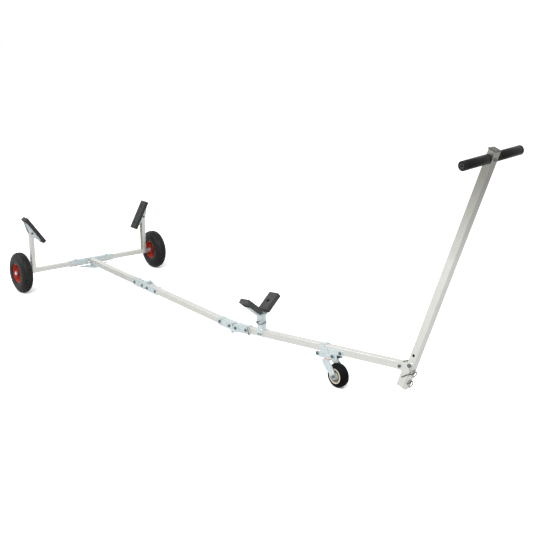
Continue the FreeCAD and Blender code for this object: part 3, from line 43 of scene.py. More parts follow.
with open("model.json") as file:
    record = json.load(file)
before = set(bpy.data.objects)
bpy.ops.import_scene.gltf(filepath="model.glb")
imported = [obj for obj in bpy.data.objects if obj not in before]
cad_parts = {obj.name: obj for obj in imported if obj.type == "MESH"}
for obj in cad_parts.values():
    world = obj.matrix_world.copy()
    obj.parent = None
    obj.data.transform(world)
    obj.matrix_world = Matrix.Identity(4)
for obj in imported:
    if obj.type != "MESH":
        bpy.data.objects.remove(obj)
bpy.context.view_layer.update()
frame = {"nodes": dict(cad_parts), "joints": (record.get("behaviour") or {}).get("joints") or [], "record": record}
JOINTS = {joint["name"]: joint for joint in frame["joints"]}
SLOTS = {part["node"]: part["material_slot"] for part in frame["record"]["subparts"]}
SIDES = ((-1, "right"), (1, "left"))
WAYS = (-1, 1)
MM = 0.001
TURN = 2 * math.pi
QUARTER = math.pi / 2
SHARP = math.radians(32)  # bend above which an edge is shaded sharp
FLAT_FACE = 0.0001  # square metres above which a moulded face is shaded flat
PIN_OVER_BAR = 26 * MM  # fold 1's pin over the bars' middle
PIN_UNDER_BAR = 22 * MM  # fold 2's pin under the bars' middle


# Sizes and colours

def a_length(name, description, default):
    return bpy.props.FloatProperty(name=name, description=description, default=default, unit="LENGTH")


def an_angle(name, description, degrees):
    return bpy.props.FloatProperty(name=name, description=description, default=math.radians(degrees),
                                   unit="ROTATION")


def a_number(name, description, default, unit="NONE"):
    return bpy.props.FloatProperty(name=name, description=description, default=default, unit=unit)


def a_colour(name, description, default):
    return bpy.props.FloatVectorProperty(name=name, description=description, default=default, size=3,
                                         subtype="COLOR")


class TyreSizes(bpy.types.PropertyGroup):
    """Sizes of the two pneumatic tyres."""
    outer_radius: a_length("Outer radius", "Radius over the tread blocks", 0.13)
    width: a_length("Width", "Width of the tyre over its flanks", 0.074)
    bead_radius: a_length("Bead radius", "Radius of the tyre's seat on the rim", 0.0592)
    tread_depth: a_length("Tread depth", "Height of the tread blocks", 0.0024)
    pitches: bpy.props.IntProperty(name="Pitches", description="Rows of tread blocks round the tyre",
                                   default=40, min=12)


class CastorSizes(bpy.types.PropertyGroup):
    """Sizes of the castor's tyre, seal and hub shields."""
    radius: a_length("Radius", "Outer radius of the castor's tyre", 0.0585)
    width: a_length("Width", "Width of the castor's tyre", 0.048)
    hub_radius: a_length("Hub radius", "Radius of the hub inside the tyre", 0.0371)
    seal_radius: a_length("Seal radius", "Outer radius of the swivel's dust seal", 0.0236)
    hub_recess: a_length("Hub recess", "Depth of the hollow in the hub", 0.006)
    shield_inner: a_length("Shield bore", "Inner radius of the hub's shield", 0.0165)
    shield_outer: a_length("Shield radius", "Outer radius of the hub's shield", 0.0318)


class RubberSizes(bpy.types.PropertyGroup):
    """Sizes of the side pads and keel blocks."""
    pad_length: a_length("Pad length", "Side pad along its slope", 0.203)
    pad_width: a_length("Pad width", "Side pad along the trolley", 0.063)
    pad_thickness: a_length("Pad thickness", "Side pad over its plate", 0.023)
    pad_seat: a_length("Pad seat", "Tilt bolt to the top of the pad's plate", 0.0156)
    pad_hole_place: a_length("Pad hole place", "Middle of the pad to a screw hole", 0.062)
    slope_right: an_angle("Right slope", "Right pad's slope from level", 54.5)
    slope_left: an_angle("Left slope", "Left pad's slope from level", 61)
    block_length: a_length("Keel block length", "Keel block along its slope", 0.113)
    block_width: a_length("Keel block width", "Keel block along the drawbar", 0.072)
    block_thickness: a_length("Keel block thickness", "Thickness of a keel block", 0.027)
    block_start: a_length("Keel block start", "Corner of the V to the block's foot", 0.014)
    block_slope: an_angle("Keel block slope", "Slope of a keel block from level", 40.2)
    rounding: a_length("Rounding", "Radius of the moulded edges", 0.0026)


class GripSizes(bpy.types.PropertyGroup):
    """Sizes of the foam grips on the T bar."""
    radius: a_length("Radius", "Outer radius of a grip", 0.019)
    start: a_length("Start", "Handle's middle to a grip's inner end", 0.021)
    end: a_length("End", "Handle's middle to a grip's outer end", 0.168)
    bore: a_length("Bore", "Radius of the tube in the grip", 0.0125)
    tilt: an_angle("Tilt", "T bar's lean on its bolt", 6)
    height: a_length("Height", "Handle's pivot to the T bar", 0.984)


class FrameSizes(bpy.types.PropertyGroup):
    """Places on the drawbar that the small parts are set to."""
    bar_half: a_length("Half bar", "Half the drawbar's side", 0.0175)
    plate: a_length("Plate", "Thickness of the bent plates", 0.003)
    fall: an_angle("Fall", "Fall of the rear and middle sections", 1.5)
    rise: an_angle("Rise", "Rise of the front section", 6.85)
    lean: an_angle("Lean", "Handle's lean forward", 20)
    keel_place: a_length("Keel place", "Second fold to the keel support", 0.235)
    castor_place: a_length("Castor place", "Second fold to the castor's swivel", 0.745)


class FinishColours(bpy.types.PropertyGroup):
    """Colours of the trolley's materials."""
    aluminium: a_colour("Aluminium", "Mill-finish tube", (0.76, 0.765, 0.725))
    galvanised: a_colour("Galvanised", "Zinc-coated plate", (0.70, 0.775, 0.79))
    zinc: a_colour("Zinc plate", "Bolts, nuts and wire", (0.13, 0.165, 0.175))
    tyre: a_colour("Tyre rubber", "Tyre rubber", (0.007, 0.007, 0.007))
    rubber: a_colour("Pad rubber", "Side pads and keel blocks", (0.030, 0.030, 0.031))
    rim: a_colour("Rim red", "Moulded plastic rims", (0.66, 0.052, 0.024))
    hub: a_colour("Castor hub", "Castor's moulded hub", (0.72, 0.68, 0.55))
    seal: a_colour("Seal", "Castor's dust seal", (0.80, 0.20, 0.08))
    foam: a_colour("Foam", "Grip foam", (0.006, 0.006, 0.006))
    cap: a_colour("Cap", "Handle's plastic cap", (0.052, 0.046, 0.043))


class StageSettings(bpy.types.PropertyGroup):
    """Camera, lamps and room light."""
    lens: a_number("Lens", "Focal length in millimetres", 59.185, "CAMERA")
    camera_place: bpy.props.FloatVectorProperty(
        name="Camera place", description="Camera's position", size=3, subtype="TRANSLATION",
        default=(3.6469, -2.7070, 1.6348))
    camera_pitch: an_angle("Pitch", "Camera's fall below level", 15.11)
    camera_yaw: an_angle("Yaw", "Camera's heading", 50.8)
    key_power: a_number("Key power", "Main soft lamp in watts", 150.0, "POWER")
    fill_power: a_number("Fill power", "Second soft lamp in watts", 70.0, "POWER")
    world_light: a_number("Room light", "Strength of the room's light on the trolley", 0.62)


SETTINGS = (
    ("trolley_tyre", TyreSizes), ("trolley_castor", CastorSizes), ("trolley_rubber", RubberSizes),
    ("trolley_grip", GripSizes), ("trolley_frame", FrameSizes), ("trolley_colour", FinishColours),
    ("trolley_stage", StageSettings),
)


# Places

def joint_place(name):
    return Vector(JOINTS[name]["pos_m"])


def turned_at(place, turn, axis="Y"):
    return Matrix.Translation(place) @ Matrix.Rotation(turn, 4, axis)


def section_frames():
    """Frames of the axle, the folds, the front section, the handle, the castor and the keel support."""
    sizes = bpy.context.scene.trolley_frame
    axle = joint_place("wheel_right_spin")
    axle.y = 0
    low_pin = joint_place("fold_2")
    to_bar = Matrix.Translation((0, 0, PIN_UNDER_BAR))
    front = turned_at(low_pin, -sizes.rise) @ to_bar
    return {
        "axle": Matrix.Translation(axle),
        "fold_1": turned_at(joint_place("fold_1"), sizes.fall) @ Matrix.Translation((0, 0, -PIN_OVER_BAR)),
        "fold_2": turned_at(low_pin, sizes.fall) @ to_bar,
        "front": front,
        "keel": front @ Matrix.Translation((sizes.keel_place, 0, sizes.bar_half)),
        "castor": front @ Matrix.Translation((sizes.castor_place, 0, 0)),
        "handle": turned_at(joint_place("handle_swing"), sizes.lean),
    }


# Mesh makers

def link(obj):
    bpy.context.scene.collection.objects.link(obj)
    return obj


def mesh_from(bm, name, recalculate=True):
    if recalculate:
        bmesh.ops.remove_doubles(bm, verts=bm.verts, dist=1e-6)
        bmesh.ops.recalc_face_normals(bm, faces=bm.faces)
    mesh = bpy.data.meshes.new(name)
    bm.to_mesh(mesh)
    bm.free()
    return mesh


def evaluated_mesh(obj):
    """The mesh that an object gives with its modifiers. The object is then removed."""
    bpy.context.view_layer.update()
    mesh = bpy.data.meshes.new_from_object(obj.evaluated_get(bpy.context.evaluated_depsgraph_get()))
    bpy.data.objects.remove(obj)
    return mesh


def put_on(name, made, body, look, nodes=(), smooth=True):
    """Make a finished piece from a mesh or bmesh in place. A mesh that has its material needs no look."""
    mesh = made if isinstance(made, bpy.types.Mesh) else mesh_from(made, name)
    obj = link(bpy.data.objects.new(name, mesh))
    if look:
        mesh.materials.clear()
        mesh.materials.append(finish(look))
    if smooth:
        for face in mesh.polygons:
            face.use_smooth = True
        mesh.set_sharp_from_angle(angle=SHARP)
    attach(obj, body)
    if nodes:
        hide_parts(*nodes)
    return obj


def on_circle(radius, along, turn):
    """A point round the Y axis."""
    return Vector((radius * math.cos(turn), along, radius * math.sin(turn)))


def band(bm, first, second):
    """Faces between two loops of vertices."""
    for step in range(len(first)):
        after = (step + 1) % len(first)
        bm.faces.new((first[step], first[after], second[after], second[step]))


def cover(bm, loops):
    """Skin a row of loops and close its two ends."""
    for first, second in zip(loops, loops[1:]):
        band(bm, first, second)
    bm.faces.new(loops[0])
    bm.faces.new(list(reversed(loops[-1])))


def lathe(bm, profile, count, place=Matrix(), closed=True):
    """Turn (along, radius) points round the local Y axis."""
    rings = [[bm.verts.new(place @ on_circle(radius, along, TURN * step / count)) for step in range(count)]
             for along, radius in profile]
    if closed:
        for first, second in zip(rings, rings[1:] + rings[:1]):
            band(bm, first, second)
    else:
        cover(bm, rings)


def lathed(profile, count, place=Matrix()):
    """One turned ring as a bmesh of its own."""
    bm = bmesh.new()
    lathe(bm, profile, count, place)
    return bm


def both_sides(right):
    """A profile that starts at its middle, with its mirror image before it."""
    return [(-along, radius) for along, radius in reversed(right[1:])] + right


AXIS_TURNS = {"X": Matrix.Rotation(-QUARTER, 4, "Z"), "Y": Matrix(), "Z": Matrix.Rotation(QUARTER, 4, "X")}


def peg(bm, radius, start, length, place, axis="Y", count=24, chamfer=0.6 * MM):
    """A chamfered pin from a point along one of the frame's axes."""
    chamfer = min(chamfer, radius * 0.4, abs(length) * 0.4)
    cut = math.copysign(chamfer, length)
    profile = [(0, radius - chamfer), (cut, radius), (length - cut, radius), (length, radius - chamfer)]
    lathe(bm, profile, count, place @ Matrix.Translation(start) @ AXIS_TURNS[axis], closed=False)


def pegs(bm, place, rows):
    """Pins from rows of radius, start, length, axis, sides and perhaps chamfer, in millimetres."""
    for radius, start, length, axis, count, *chamfer in rows:
        peg(bm, radius * MM, Vector(start) * MM, length * MM, place, axis, count,
            *[cut * MM for cut in chamfer])


def soft_box(low, high, rounding, steps, place):
    """A box whose edges are rounded, as a bmesh of its own."""
    bm = bmesh.new()
    bmesh.ops.create_cube(bm, size=1)
    for vert in bm.verts:
        vert.co = Vector(start + (share + 0.5) * (end - start)
                         for share, start, end in zip(vert.co, low, high))
    bmesh.ops.bevel(bm, geom=bm.edges[:], offset=rounding, segments=steps, profile=0.5, affect="EDGES")
    bmesh.ops.transform(bm, matrix=place, verts=bm.verts[:])
    return bm


def wire(bm, points, radius, place=Matrix(), cyclic=False):
    """A bent wire along control points, all in millimetres."""
    curve = bpy.data.curves.new("Wire", "CURVE")
    curve.dimensions = "3D"
    curve.bevel_depth = radius * MM
    curve.bevel_resolution = 3
    curve.resolution_u = 8
    curve.use_fill_caps = True
    line = curve.splines.new("NURBS")
    line.points.add(len(points) - 1)
    for point, target in zip(line.points, points):
        point.co = (*(place @ (Vector(target) * MM)), 1)
    line.order_u = 3
    line.use_endpoint_u = not cyclic
    line.use_cyclic_u = cyclic
    bm.from_mesh(evaluated_mesh(link(bpy.data.objects.new("Wire", curve))))


# Node trees

def add(tree, kind, feeds=(), **settings):
    """A node whose inputs are fed by values, by sockets or by the first outputs of other nodes."""
    made = tree.nodes.new(kind)
    for key, value in settings.items():
        setattr(made, key, value)
    for label, value in dict(feeds).items():
        if isinstance(value, bpy.types.Node):
            value = value.outputs[0]
        if isinstance(value, bpy.types.NodeSocket):
            tree.links.new(value, made.inputs[label])
        else:
            made.inputs[label].default_value = value
    return made


def maths(tree, operation, first, second):
    return add(tree, "ShaderNodeMath", {0: first, 1: second}, operation=operation)


def new_tree(name, inputs):
    """A geometry tree with named inputs and a material. Returns the tree and its entry's sockets."""
    tree = bpy.data.node_groups.new(name, "GeometryNodeTree")
    tree.interface.new_socket("Geometry", in_out="INPUT", socket_type="NodeSocketGeometry")
    for label, kind, value in (*inputs, ("Material", "Material", None)):
        socket = tree.interface.new_socket(label, in_out="INPUT", socket_type="NodeSocket" + kind)
        if value is not None:
            socket.default_value = value
    tree.interface.new_socket("Geometry", in_out="OUTPUT", socket_type="NodeSocketGeometry")
    return tree, add(tree, "NodeGroupInput").outputs


def finish_tree(tree, source, entry):
    """End a tree in Realize Instances and Set Material."""
    real = add(tree, "GeometryNodeRealizeInstances", {0: source})
    painted = add(tree, "GeometryNodeSetMaterial", {"Geometry": real, "Material": entry["Material"]})
    add(tree, "NodeGroupOutput", {0: painted})
    return tree


def run_tree(tree, host_mesh, values):
    """Run a tree over a mesh and give the result as a plain mesh."""
    host = link(bpy.data.objects.new("Host", host_mesh))
    modifier = host.modifiers.new("Nodes", "NODES")
    modifier.node_group = tree
    sockets = {item.name: item.identifier for item in tree.interface.items_tree
               if item.item_type == "SOCKET" and item.in_out == "INPUT"}
    for label, value in values.items():
        modifier[sockets[label]] = value
    mesh = evaluated_mesh(host)
    mesh.materials.clear()
    mesh.materials.append(values["Material"])
    mesh.polygons.foreach_set("material_index", [0] * len(mesh.polygons))
    return mesh


def tread_tree():
    """Sets one pitch of tread blocks round a wheel at even steps, beside the tyre's carcass."""
    tree, entry = new_tree("Tread Ring", (("Pitch", "Object", None), ("Count", "Int", 40)))
    points = add(tree, "GeometryNodePoints", {"Count": entry["Count"]})
    share = maths(tree, "DIVIDE", add(tree, "GeometryNodeInputIndex"), entry["Count"])
    turn = add(tree, "ShaderNodeCombineXYZ", {"Y": maths(tree, "MULTIPLY", share, TURN)})
    pitch = add(tree, "GeometryNodeObjectInfo", {"Object": entry["Pitch"]}).outputs["Geometry"]
    spread = add(tree, "GeometryNodeInstanceOnPoints",
                 {"Points": points, "Instance": pitch, "Rotation": turn})
    join = add(tree, "GeometryNodeJoinGeometry", {0: entry["Geometry"]})
    tree.links.new(spread.outputs[0], join.inputs[0])
    return finish_tree(tree, join, entry)


def fastener_tree():
    """Sets a small part at each vertex, turned by the vertex's heading and scaled by its girth."""
    tree, entry = new_tree("Fastener Dress", (("Part", "Object", None),))
    heading = add(tree, "GeometryNodeInputNamedAttribute", {"Name": "heading"}, data_type="FLOAT_VECTOR")
    girth = add(tree, "GeometryNodeInputNamedAttribute", {"Name": "girth"}, data_type="FLOAT")
    part = add(tree, "GeometryNodeObjectInfo", {"Object": entry["Part"]}).outputs["Geometry"]
    spread = add(tree, "GeometryNodeInstanceOnPoints", {
        "Points": entry["Geometry"], "Instance": part,
        "Rotation": heading.outputs["Attribute"], "Scale": girth.outputs["Attribute"]})
    return finish_tree(tree, spread, entry)


def weld_tree():
    """Lays overlapping ripples of weld along a path."""
    tree, entry = new_tree("Weld Bead", (
        ("Pitch", "Float", 2.2 * MM), ("Radius", "Float", 1.9 * MM), ("Seed", "Int", 3)))
    curve = add(tree, "GeometryNodeMeshToCurve", {"Mesh": entry["Geometry"]})
    even = add(tree, "GeometryNodeResampleCurve", {"Curve": curve, "Length": entry["Pitch"]}, mode="LENGTH")
    drop = add(tree, "GeometryNodeMeshIcoSphere", {"Subdivisions": 2, "Radius": entry["Radius"]})
    vary = add(tree, "FunctionNodeRandomValue", {"Min": 0.82, "Max": 1.12, "Seed": entry["Seed"]},
               data_type="FLOAT").outputs["Value"]
    spread = add(tree, "GeometryNodeInstanceOnPoints", {"Points": even, "Instance": drop, "Scale": vary})
    return finish_tree(tree, spread, entry)


def spread_part(tree, part_mesh, spots, material):
    """One mesh with a part at each spot, which is a place, a heading and a girth."""
    places, headings, girths = zip(*spots)
    points = bpy.data.meshes.new("Places")
    points.from_pydata(places, [], [])
    points.attributes.new("heading", "FLOAT_VECTOR", "POINT").data.foreach_set(
        "vector", [turn for heading in headings for turn in heading])
    points.attributes.new("girth", "FLOAT", "POINT").data.foreach_set("value", girths)
    part = link(bpy.data.objects.new("Part", part_mesh))
    mesh = run_tree(tree, points, {"Part": part, "Material": material})
    bpy.data.objects.remove(part)
    return mesh


# Shader node groups and materials

def new_shader_group(name, inputs, outputs):
    """A shader node group. Returns it with its entry's and its exit's sockets."""
    group = bpy.data.node_groups.new(name, "ShaderNodeTree")
    for label, value in inputs.items():
        group.interface.new_socket(label, in_out="INPUT", socket_type="NodeSocketFloat").default_value = value
    for label in outputs:
        group.interface.new_socket(label, in_out="OUTPUT", socket_type="NodeSocketFloat")
    return group, add(group, "NodeGroupInput").outputs, add(group, "NodeGroupOutput").inputs


def object_place(tree):
    return add(tree, "ShaderNodeTexCoord").outputs["Object"]


def noise(tree, place, scale, detail=3.0, roughness=0.5):
    return add(tree, "ShaderNodeTexNoise",
               {"Vector": place, "Scale": scale, "Detail": detail, "Roughness": roughness})


def spread_out(tree, source, low, high, floor=0.0, ceiling=1.0):
    """Stretch a value between two marks."""
    return add(tree, "ShaderNodeMapRange", {
        "Value": source, "From Min": low, "From Max": high, "To Min": floor, "To Max": ceiling})


def build_edge_wear():
    """Mask of the edges that rub bare, where a bevel would turn the normal, broken by a noise."""
    group, entry, out = new_shader_group("Edge Wear", {"Width": 0.004, "Patchiness": 60.0}, ("Mask",))
    bevel = add(group, "ShaderNodeBevel", {"Radius": entry["Width"]}, samples=4)
    plain = add(group, "ShaderNodeNewGeometry").outputs["Normal"]
    dot = add(group, "ShaderNodeVectorMath", {0: bevel, 1: plain}, operation="DOT_PRODUCT").outputs["Value"]
    edge = spread_out(group, dot, 0.995, 0.86)
    patches = spread_out(group, noise(group, object_place(group), entry["Patchiness"]), 0.38, 0.62)
    group.links.new(maths(group, "MULTIPLY", edge, patches).outputs[0], out["Mask"])
    return group


def build_drawn_grain():
    """Fine lines drawn along one direction, as on extruded tube, and a cloudy value."""
    group, entry, out = new_shader_group(
        "Drawn Grain", {"Along X": 6.0, "Along Y": 900.0, "Along Z": 900.0}, ("Lines", "Cloud"))
    place = object_place(group)
    stretch = add(group, "ShaderNodeCombineXYZ", {axis: entry["Along " + axis] for axis in "XYZ"})
    scaled = add(group, "ShaderNodeVectorMath", {0: place, 1: stretch}, operation="MULTIPLY")
    group.links.new(noise(group, scaled, 1.0, 4.0, 0.6).outputs[0], out["Lines"])
    group.links.new(noise(group, place, 14.0, 2.0).outputs[0], out["Cloud"])
    return group


def build_zinc_spangle():
    """Crystals and streaks of a zinc coat."""
    group, entry, out = new_shader_group("Zinc Spangle", {"Size": 120.0}, ("Crystals", "Streaks"))
    place = object_place(group)
    cells = add(group, "ShaderNodeTexVoronoi", {"Vector": place, "Scale": entry["Size"]}).outputs["Color"]
    group.links.new(add(group, "ShaderNodeSeparateColor", {0: cells}).outputs[0], out["Crystals"])
    group.links.new(noise(group, place, 38.0, 4.0, 0.6).outputs[0], out["Streaks"])
    return group


def build_dust():
    """Mask of the dust that lies on faces that look up, and in patches lower down."""
    group, entry, out = new_shader_group("Dust", {"Amount": 0.35, "Patch Size": 18.0}, ("Mask",))
    normal = add(group, "ShaderNodeNewGeometry").outputs["Normal"]
    upward = add(group, "ShaderNodeSeparateXYZ", {0: normal}).outputs["Z"]
    patches = noise(group, object_place(group), entry["Patch Size"], 5.0, 0.6)
    facing, patchy = spread_out(group, upward, -0.2, 1.0), spread_out(group, patches, 0.35, 0.7)
    both = maths(group, "MULTIPLY", facing, patchy)
    group.links.new(maths(group, "MULTIPLY", both, entry["Amount"]).outputs[0], out["Mask"])
    return group


GROUP_MAKERS = {"Edge Wear": build_edge_wear, "Drawn Grain": build_drawn_grain,
                "Zinc Spangle": build_zinc_spangle, "Dust": build_dust}


# Sockets of the Mix node that hold colours, which have no names of their own
MIX_FACTOR, MIX_BASE, MIX_OVER = 0, 6, 7
MIX_RESULT = 2


class Finish:
    """Builds one material round its own Principled shader."""

    def __init__(self, name, colour, roughness, metallic=0.0, gloss=0.5):
        self.material = bpy.data.materials.new(name)
        self.material.use_nodes = True
        self.tree = self.material.node_tree
        self.base = (*colour, 1)
        self.shader = self.tree.nodes["Principled BSDF"].inputs
        for label, value in (("Base Color", self.base), ("Roughness", roughness), ("Metallic", metallic),
                             ("Specular IOR Level", gloss)):
            self.shader[label].default_value = value
        self.place = object_place(self.tree)

    def group(self, name, values):
        """A shader group's outputs. The group is built when it is first asked for."""
        shared = bpy.data.node_groups.get(name) or GROUP_MAKERS[name]()
        return add(self.tree, "ShaderNodeGroup", values, node_tree=shared).outputs

    def tint(self, mask, colour, strength):
        """Lay another colour over the base where a mask is high."""
        mix = add(self.tree, "ShaderNodeMix", {
            MIX_FACTOR: maths(self.tree, "MULTIPLY", mask, strength), MIX_BASE: self.base,
            MIX_OVER: (*colour, 1)}, data_type="RGBA")
        self.base = mix.outputs[MIX_RESULT]
        self.tree.links.new(self.base, self.shader["Base Color"])

    def spread(self, source, low, high, floor=0.0, ceiling=1.0):
        return spread_out(self.tree, source, low, high, floor, ceiling)

    def noise(self, scale, detail):
        return noise(self.tree, self.place, scale, detail)

    def mottle(self, scale, detail, low, high, colour, strength):
        """Tint where a noise lies above its marks."""
        self.tint(self.spread(self.noise(scale, detail), low, high), colour, strength)

    def wear(self, width, patchiness, colour, strength):
        """Tint the edges that rub bare."""
        mask = self.group("Edge Wear", {"Width": width, "Patchiness": patchiness})["Mask"]
        self.tint(mask, colour, strength)

    def dust(self, amount, patch_size, colour, strength):
        """Tint where dust lies."""
        self.tint(self.group("Dust", {"Amount": amount, "Patch Size": patch_size})["Mask"], colour, strength)

    def height(self):
        """Height of a point above the floor at rest."""
        return add(self.tree, "ShaderNodeSeparateXYZ", {0: self.place}).outputs["Z"]

    def vary_roughness(self, source, low, high):
        self.tree.links.new(self.spread(source, 0.3, 0.7, low, high).outputs[0], self.shader["Roughness"])

    def bump(self, source, height, strength):
        made = add(self.tree, "ShaderNodeBump", {"Distance": height, "Strength": strength, "Height": source})
        self.tree.links.new(made.outputs[0], self.shader["Normal"])


def lighter(colour, by):
    return tuple(min(1.0, value * by) for value in colour)


def drawn_aluminium(name, colour, along, painted_reflection_heights=None):
    """Mill-finish tube with its lines along the tube, growing darker from one height to a second by a painted dark
    reflection.
    """
    made = Finish(name, colour, 0.3, metallic=0.85)
    grain = made.group("Drawn Grain", {"Along " + axis: 5.0 if axis == along else 700.0 for axis in "XYZ"})
    made.tint(made.spread(grain["Lines"], 0.4, 0.75), lighter(colour, 0.86), 0.45)
    made.tint(made.spread(grain["Cloud"], 0.45, 0.8), lighter(colour, 0.82), 0.35)
    if painted_reflection_heights:
        # painted reflection: a dark, warm tint from the first height up stands in for dark surroundings mirrored
        # in the tube
        made.tint(made.spread(made.height(), *painted_reflection_heights), (0.27, 0.262, 0.228), 0.82)
    made.wear(0.0016, 90.0, lighter(colour, 1.25), 0.5)
    made.dust(0.3, 18.0, (0.46, 0.44, 0.40), 0.3)
    made.vary_roughness(grain["Cloud"], 0.22, 0.36)
    made.bump(grain["Lines"], 0.00012, 0.5)
    return made.material


def galvanised_steel(name, colour):
    """Hot-dipped plate: bluish grey with pale and dark crystals."""
    made = Finish(name, colour, 0.36, metallic=0.7)
    zinc = made.group("Zinc Spangle", {"Size": 150.0})
    made.tint(made.spread(zinc["Crystals"], 0.35, 0.95), lighter(colour, 0.78), 0.5)
    made.tint(made.spread(zinc["Streaks"], 0.52, 0.75), (0.16, 0.25, 0.28), 0.5)
    made.wear(0.0014, 120.0, (0.80, 0.83, 0.84), 0.6)
    made.dust(0.35, 18.0, (0.48, 0.46, 0.42), 0.3)
    made.vary_roughness(zinc["Crystals"], 0.3, 0.5)
    made.bump(zinc["Crystals"], 0.00008, 0.4)
    return made.material


def zinc_fastener(name, colour):
    """Bolts and wire: greyer, with dark stains."""
    made = Finish(name, colour, 0.4, metallic=0.75)
    made.mottle(160.0, 4.0, 0.5, 0.75, (0.10, 0.12, 0.13), 0.6)
    made.wear(0.0008, 200.0, (0.75, 0.77, 0.78), 0.7)
    made.bump(made.noise(420.0, 3.0), 0.00005, 0.4)
    return made.material


def moulded_rubber(name, colour, grain_size, sheen_roughness, gloss=0.26, edge_scuff_and_highlight=0.06):
    """Dark rubber with a fine moulded grain and pale scuffs on its edges, which on the tyre are also painted
    highlights on the tread blocks.
    """
    made = Finish(name, colour, sheen_roughness, gloss=gloss)
    made.mottle(26.0, 4.0, 0.45, 0.75, lighter(colour, 1.7), 0.55)
    # pale edges: real scuffs, and on the tyre strong enough to be painted highlights as well
    made.wear(0.003, 70.0, (edge_scuff_and_highlight, edge_scuff_and_highlight, edge_scuff_and_highlight), 0.5)
    made.dust(0.5, 24.0, (0.09, 0.088, 0.084), 0.35)
    made.vary_roughness(made.noise(60.0, 4.0), sheen_roughness - 0.09, sheen_roughness + 0.12)
    made.bump(made.noise(grain_size, 2.0), 0.00018, 0.5)
    return made.material


def moulded_plastic(name, colour, roughness, scuff):
    """Injection-moulded plastic with a faint orange peel and rubbed edges."""
    made = Finish(name, colour, roughness)
    made.mottle(30.0, 3.0, 0.5, 0.8, lighter(colour, 0.72), 0.35)
    made.wear(0.0012, 80.0, scuff, 0.45)
    made.dust(0.45, 30.0, (0.40, 0.36, 0.30), 0.22)
    made.bump(made.noise(500.0, 1.0), 0.00006, 0.35)
    return made.material


def rim_plastic_with_painted_shade(name, colour, centre, rim_radius):
    """Moulded plastic of a wheel, with painted shade darkening it towards the bottom of its recess."""
    made = Finish(name, colour, 0.34)
    off_centre = add(made.tree, "ShaderNodeVectorMath", {0: made.place, 1: centre}, operation="SUBTRACT")
    flat = add(made.tree, "ShaderNodeVectorMath", {0: off_centre, 1: (1, 0, 1)}, operation="MULTIPLY")
    reach = add(made.tree, "ShaderNodeVectorMath", {0: flat}, operation="LENGTH").outputs["Value"]
    # painted shade: darker red inside the rim's lip, towards the bottom of the recess
    made.tint(made.spread(reach, rim_radius * 0.93, rim_radius * 0.82), lighter(colour, 0.36), 0.9)
    made.mottle(30.0, 3.0, 0.5, 0.8, lighter(colour, 0.6), 0.35)
    made.wear(0.0012, 80.0, lighter(colour, 1.3), 0.5)
    made.dust(0.45, 30.0, (0.30, 0.22, 0.18), 0.2)
    made.bump(made.noise(500.0, 1.0), 0.00006, 0.35)
    return made.material


def closed_foam(name, colour):
    """Closed-cell foam: dull, finely pitted."""
    made = Finish(name, colour, 0.3, gloss=0.14)
    made.mottle(40.0, 3.0, 0.45, 0.8, lighter(colour, 1.8), 0.5)
    made.wear(0.002, 60.0, (0.035, 0.035, 0.035), 0.3)
    made.bump(made.noise(900.0, 2.0), 0.00015, 0.4)
    return made.material


def make_materials(colours):
    """Every finish on the trolley, by name."""
    tube, tyre, rubber, zinc = colours.aluminium, colours.tyre, colours.rubber, colours.zinc
    return {
        "tube_x": drawn_aluminium("Drawbar Aluminium", tube, "X"),
        "tube_y": drawn_aluminium("Arm Aluminium", tube, "Y"),
        "tube_z": drawn_aluminium("Upright Aluminium", tube, "Z"),
        # the handle's tube carries a painted dark reflection that grows from 0.72 m to 1.10 m up
        "handle": drawn_aluminium("Handle Aluminium", tube, "Z", (0.72, 1.10)),
        "galvanised": galvanised_steel("Galvanised Plate", colours.galvanised),
        "fastener": zinc_fastener("Zinc Fasteners", zinc),
        # the tyre's pale block edges at 0.13 are painted highlights as well as scuffs
        "tyre": moulded_rubber("Tyre Rubber", tyre, 700.0, 0.34, 0.18, 0.13),
        "castor_tyre": moulded_rubber("Castor Rubber", lighter(tyre, 0.6), 800.0, 0.5, 0.04, 0.04),
        "rubber": moulded_rubber("Pad Rubber", rubber, 520.0, 0.55),
        # a lighter copy of the pad rubber: painted light standing in for the light on the keel blocks' tops
        "keel_rubber": moulded_rubber("Keel Rubber With Painted Light", lighter(rubber, 1.5), 420.0, 0.5, 0.3),
        "rim": rim_plastic_with_painted_shade("Red Rim Plastic", colours.rim, joint_place("wheel_right_spin"), 0.0615),
        "castor_hub": moulded_plastic("Cream Hub Plastic", colours.hub, 0.42, (0.82, 0.80, 0.70)),
        # near-black and without gloss: painted shade for the insides and bottoms of holes
        "dark": moulded_rubber("Painted Hole Shade", lighter(rubber, 0.03), 400.0, 0.8, 0.0, 0.004),
        "bow": zinc_fastener("Worn Wire", lighter(zinc, 0.16)),
        "wire": zinc_fastener("Dark Wire", lighter(zinc, 0.5)),
        # dark brown shield colour, which also paints the shade in the hub's recess
        "shield": moulded_plastic("Brown Hub Shield And Painted Shade", lighter(colours.hub, 0.2), 0.4, (0.3, 0.28, 0.22)),
        "seal": moulded_plastic("Orange Seal", colours.seal, 0.45, (0.85, 0.35, 0.2)),
        "foam": closed_foam("Grip Foam", colours.foam),
        "cap": moulded_plastic("Cap Plastic", colours.cap, 0.4, (0.20, 0.18, 0.16)),
    }


# Nodes whose finish differs from the rest of their slot
OWN_FINISH = {
    "handle_tube": "handle", "handle_fork": "tube",
    "keel_sleeve": "galvanised", "fold_1_pin": "galvanised", "fold_2_pin": "galvanised",
    "arm_right_fold_bolt": "galvanised", "arm_left_fold_bolt": "galvanised",
    "arm_right_stub_axle": "galvanised", "arm_left_stub_axle": "galvanised",
}
FINISHES = {}


def finish(name):
    if not FINISHES:
        FINISHES.update(make_materials(bpy.context.scene.trolley_colour))
    return FINISHES[name]


# Operators

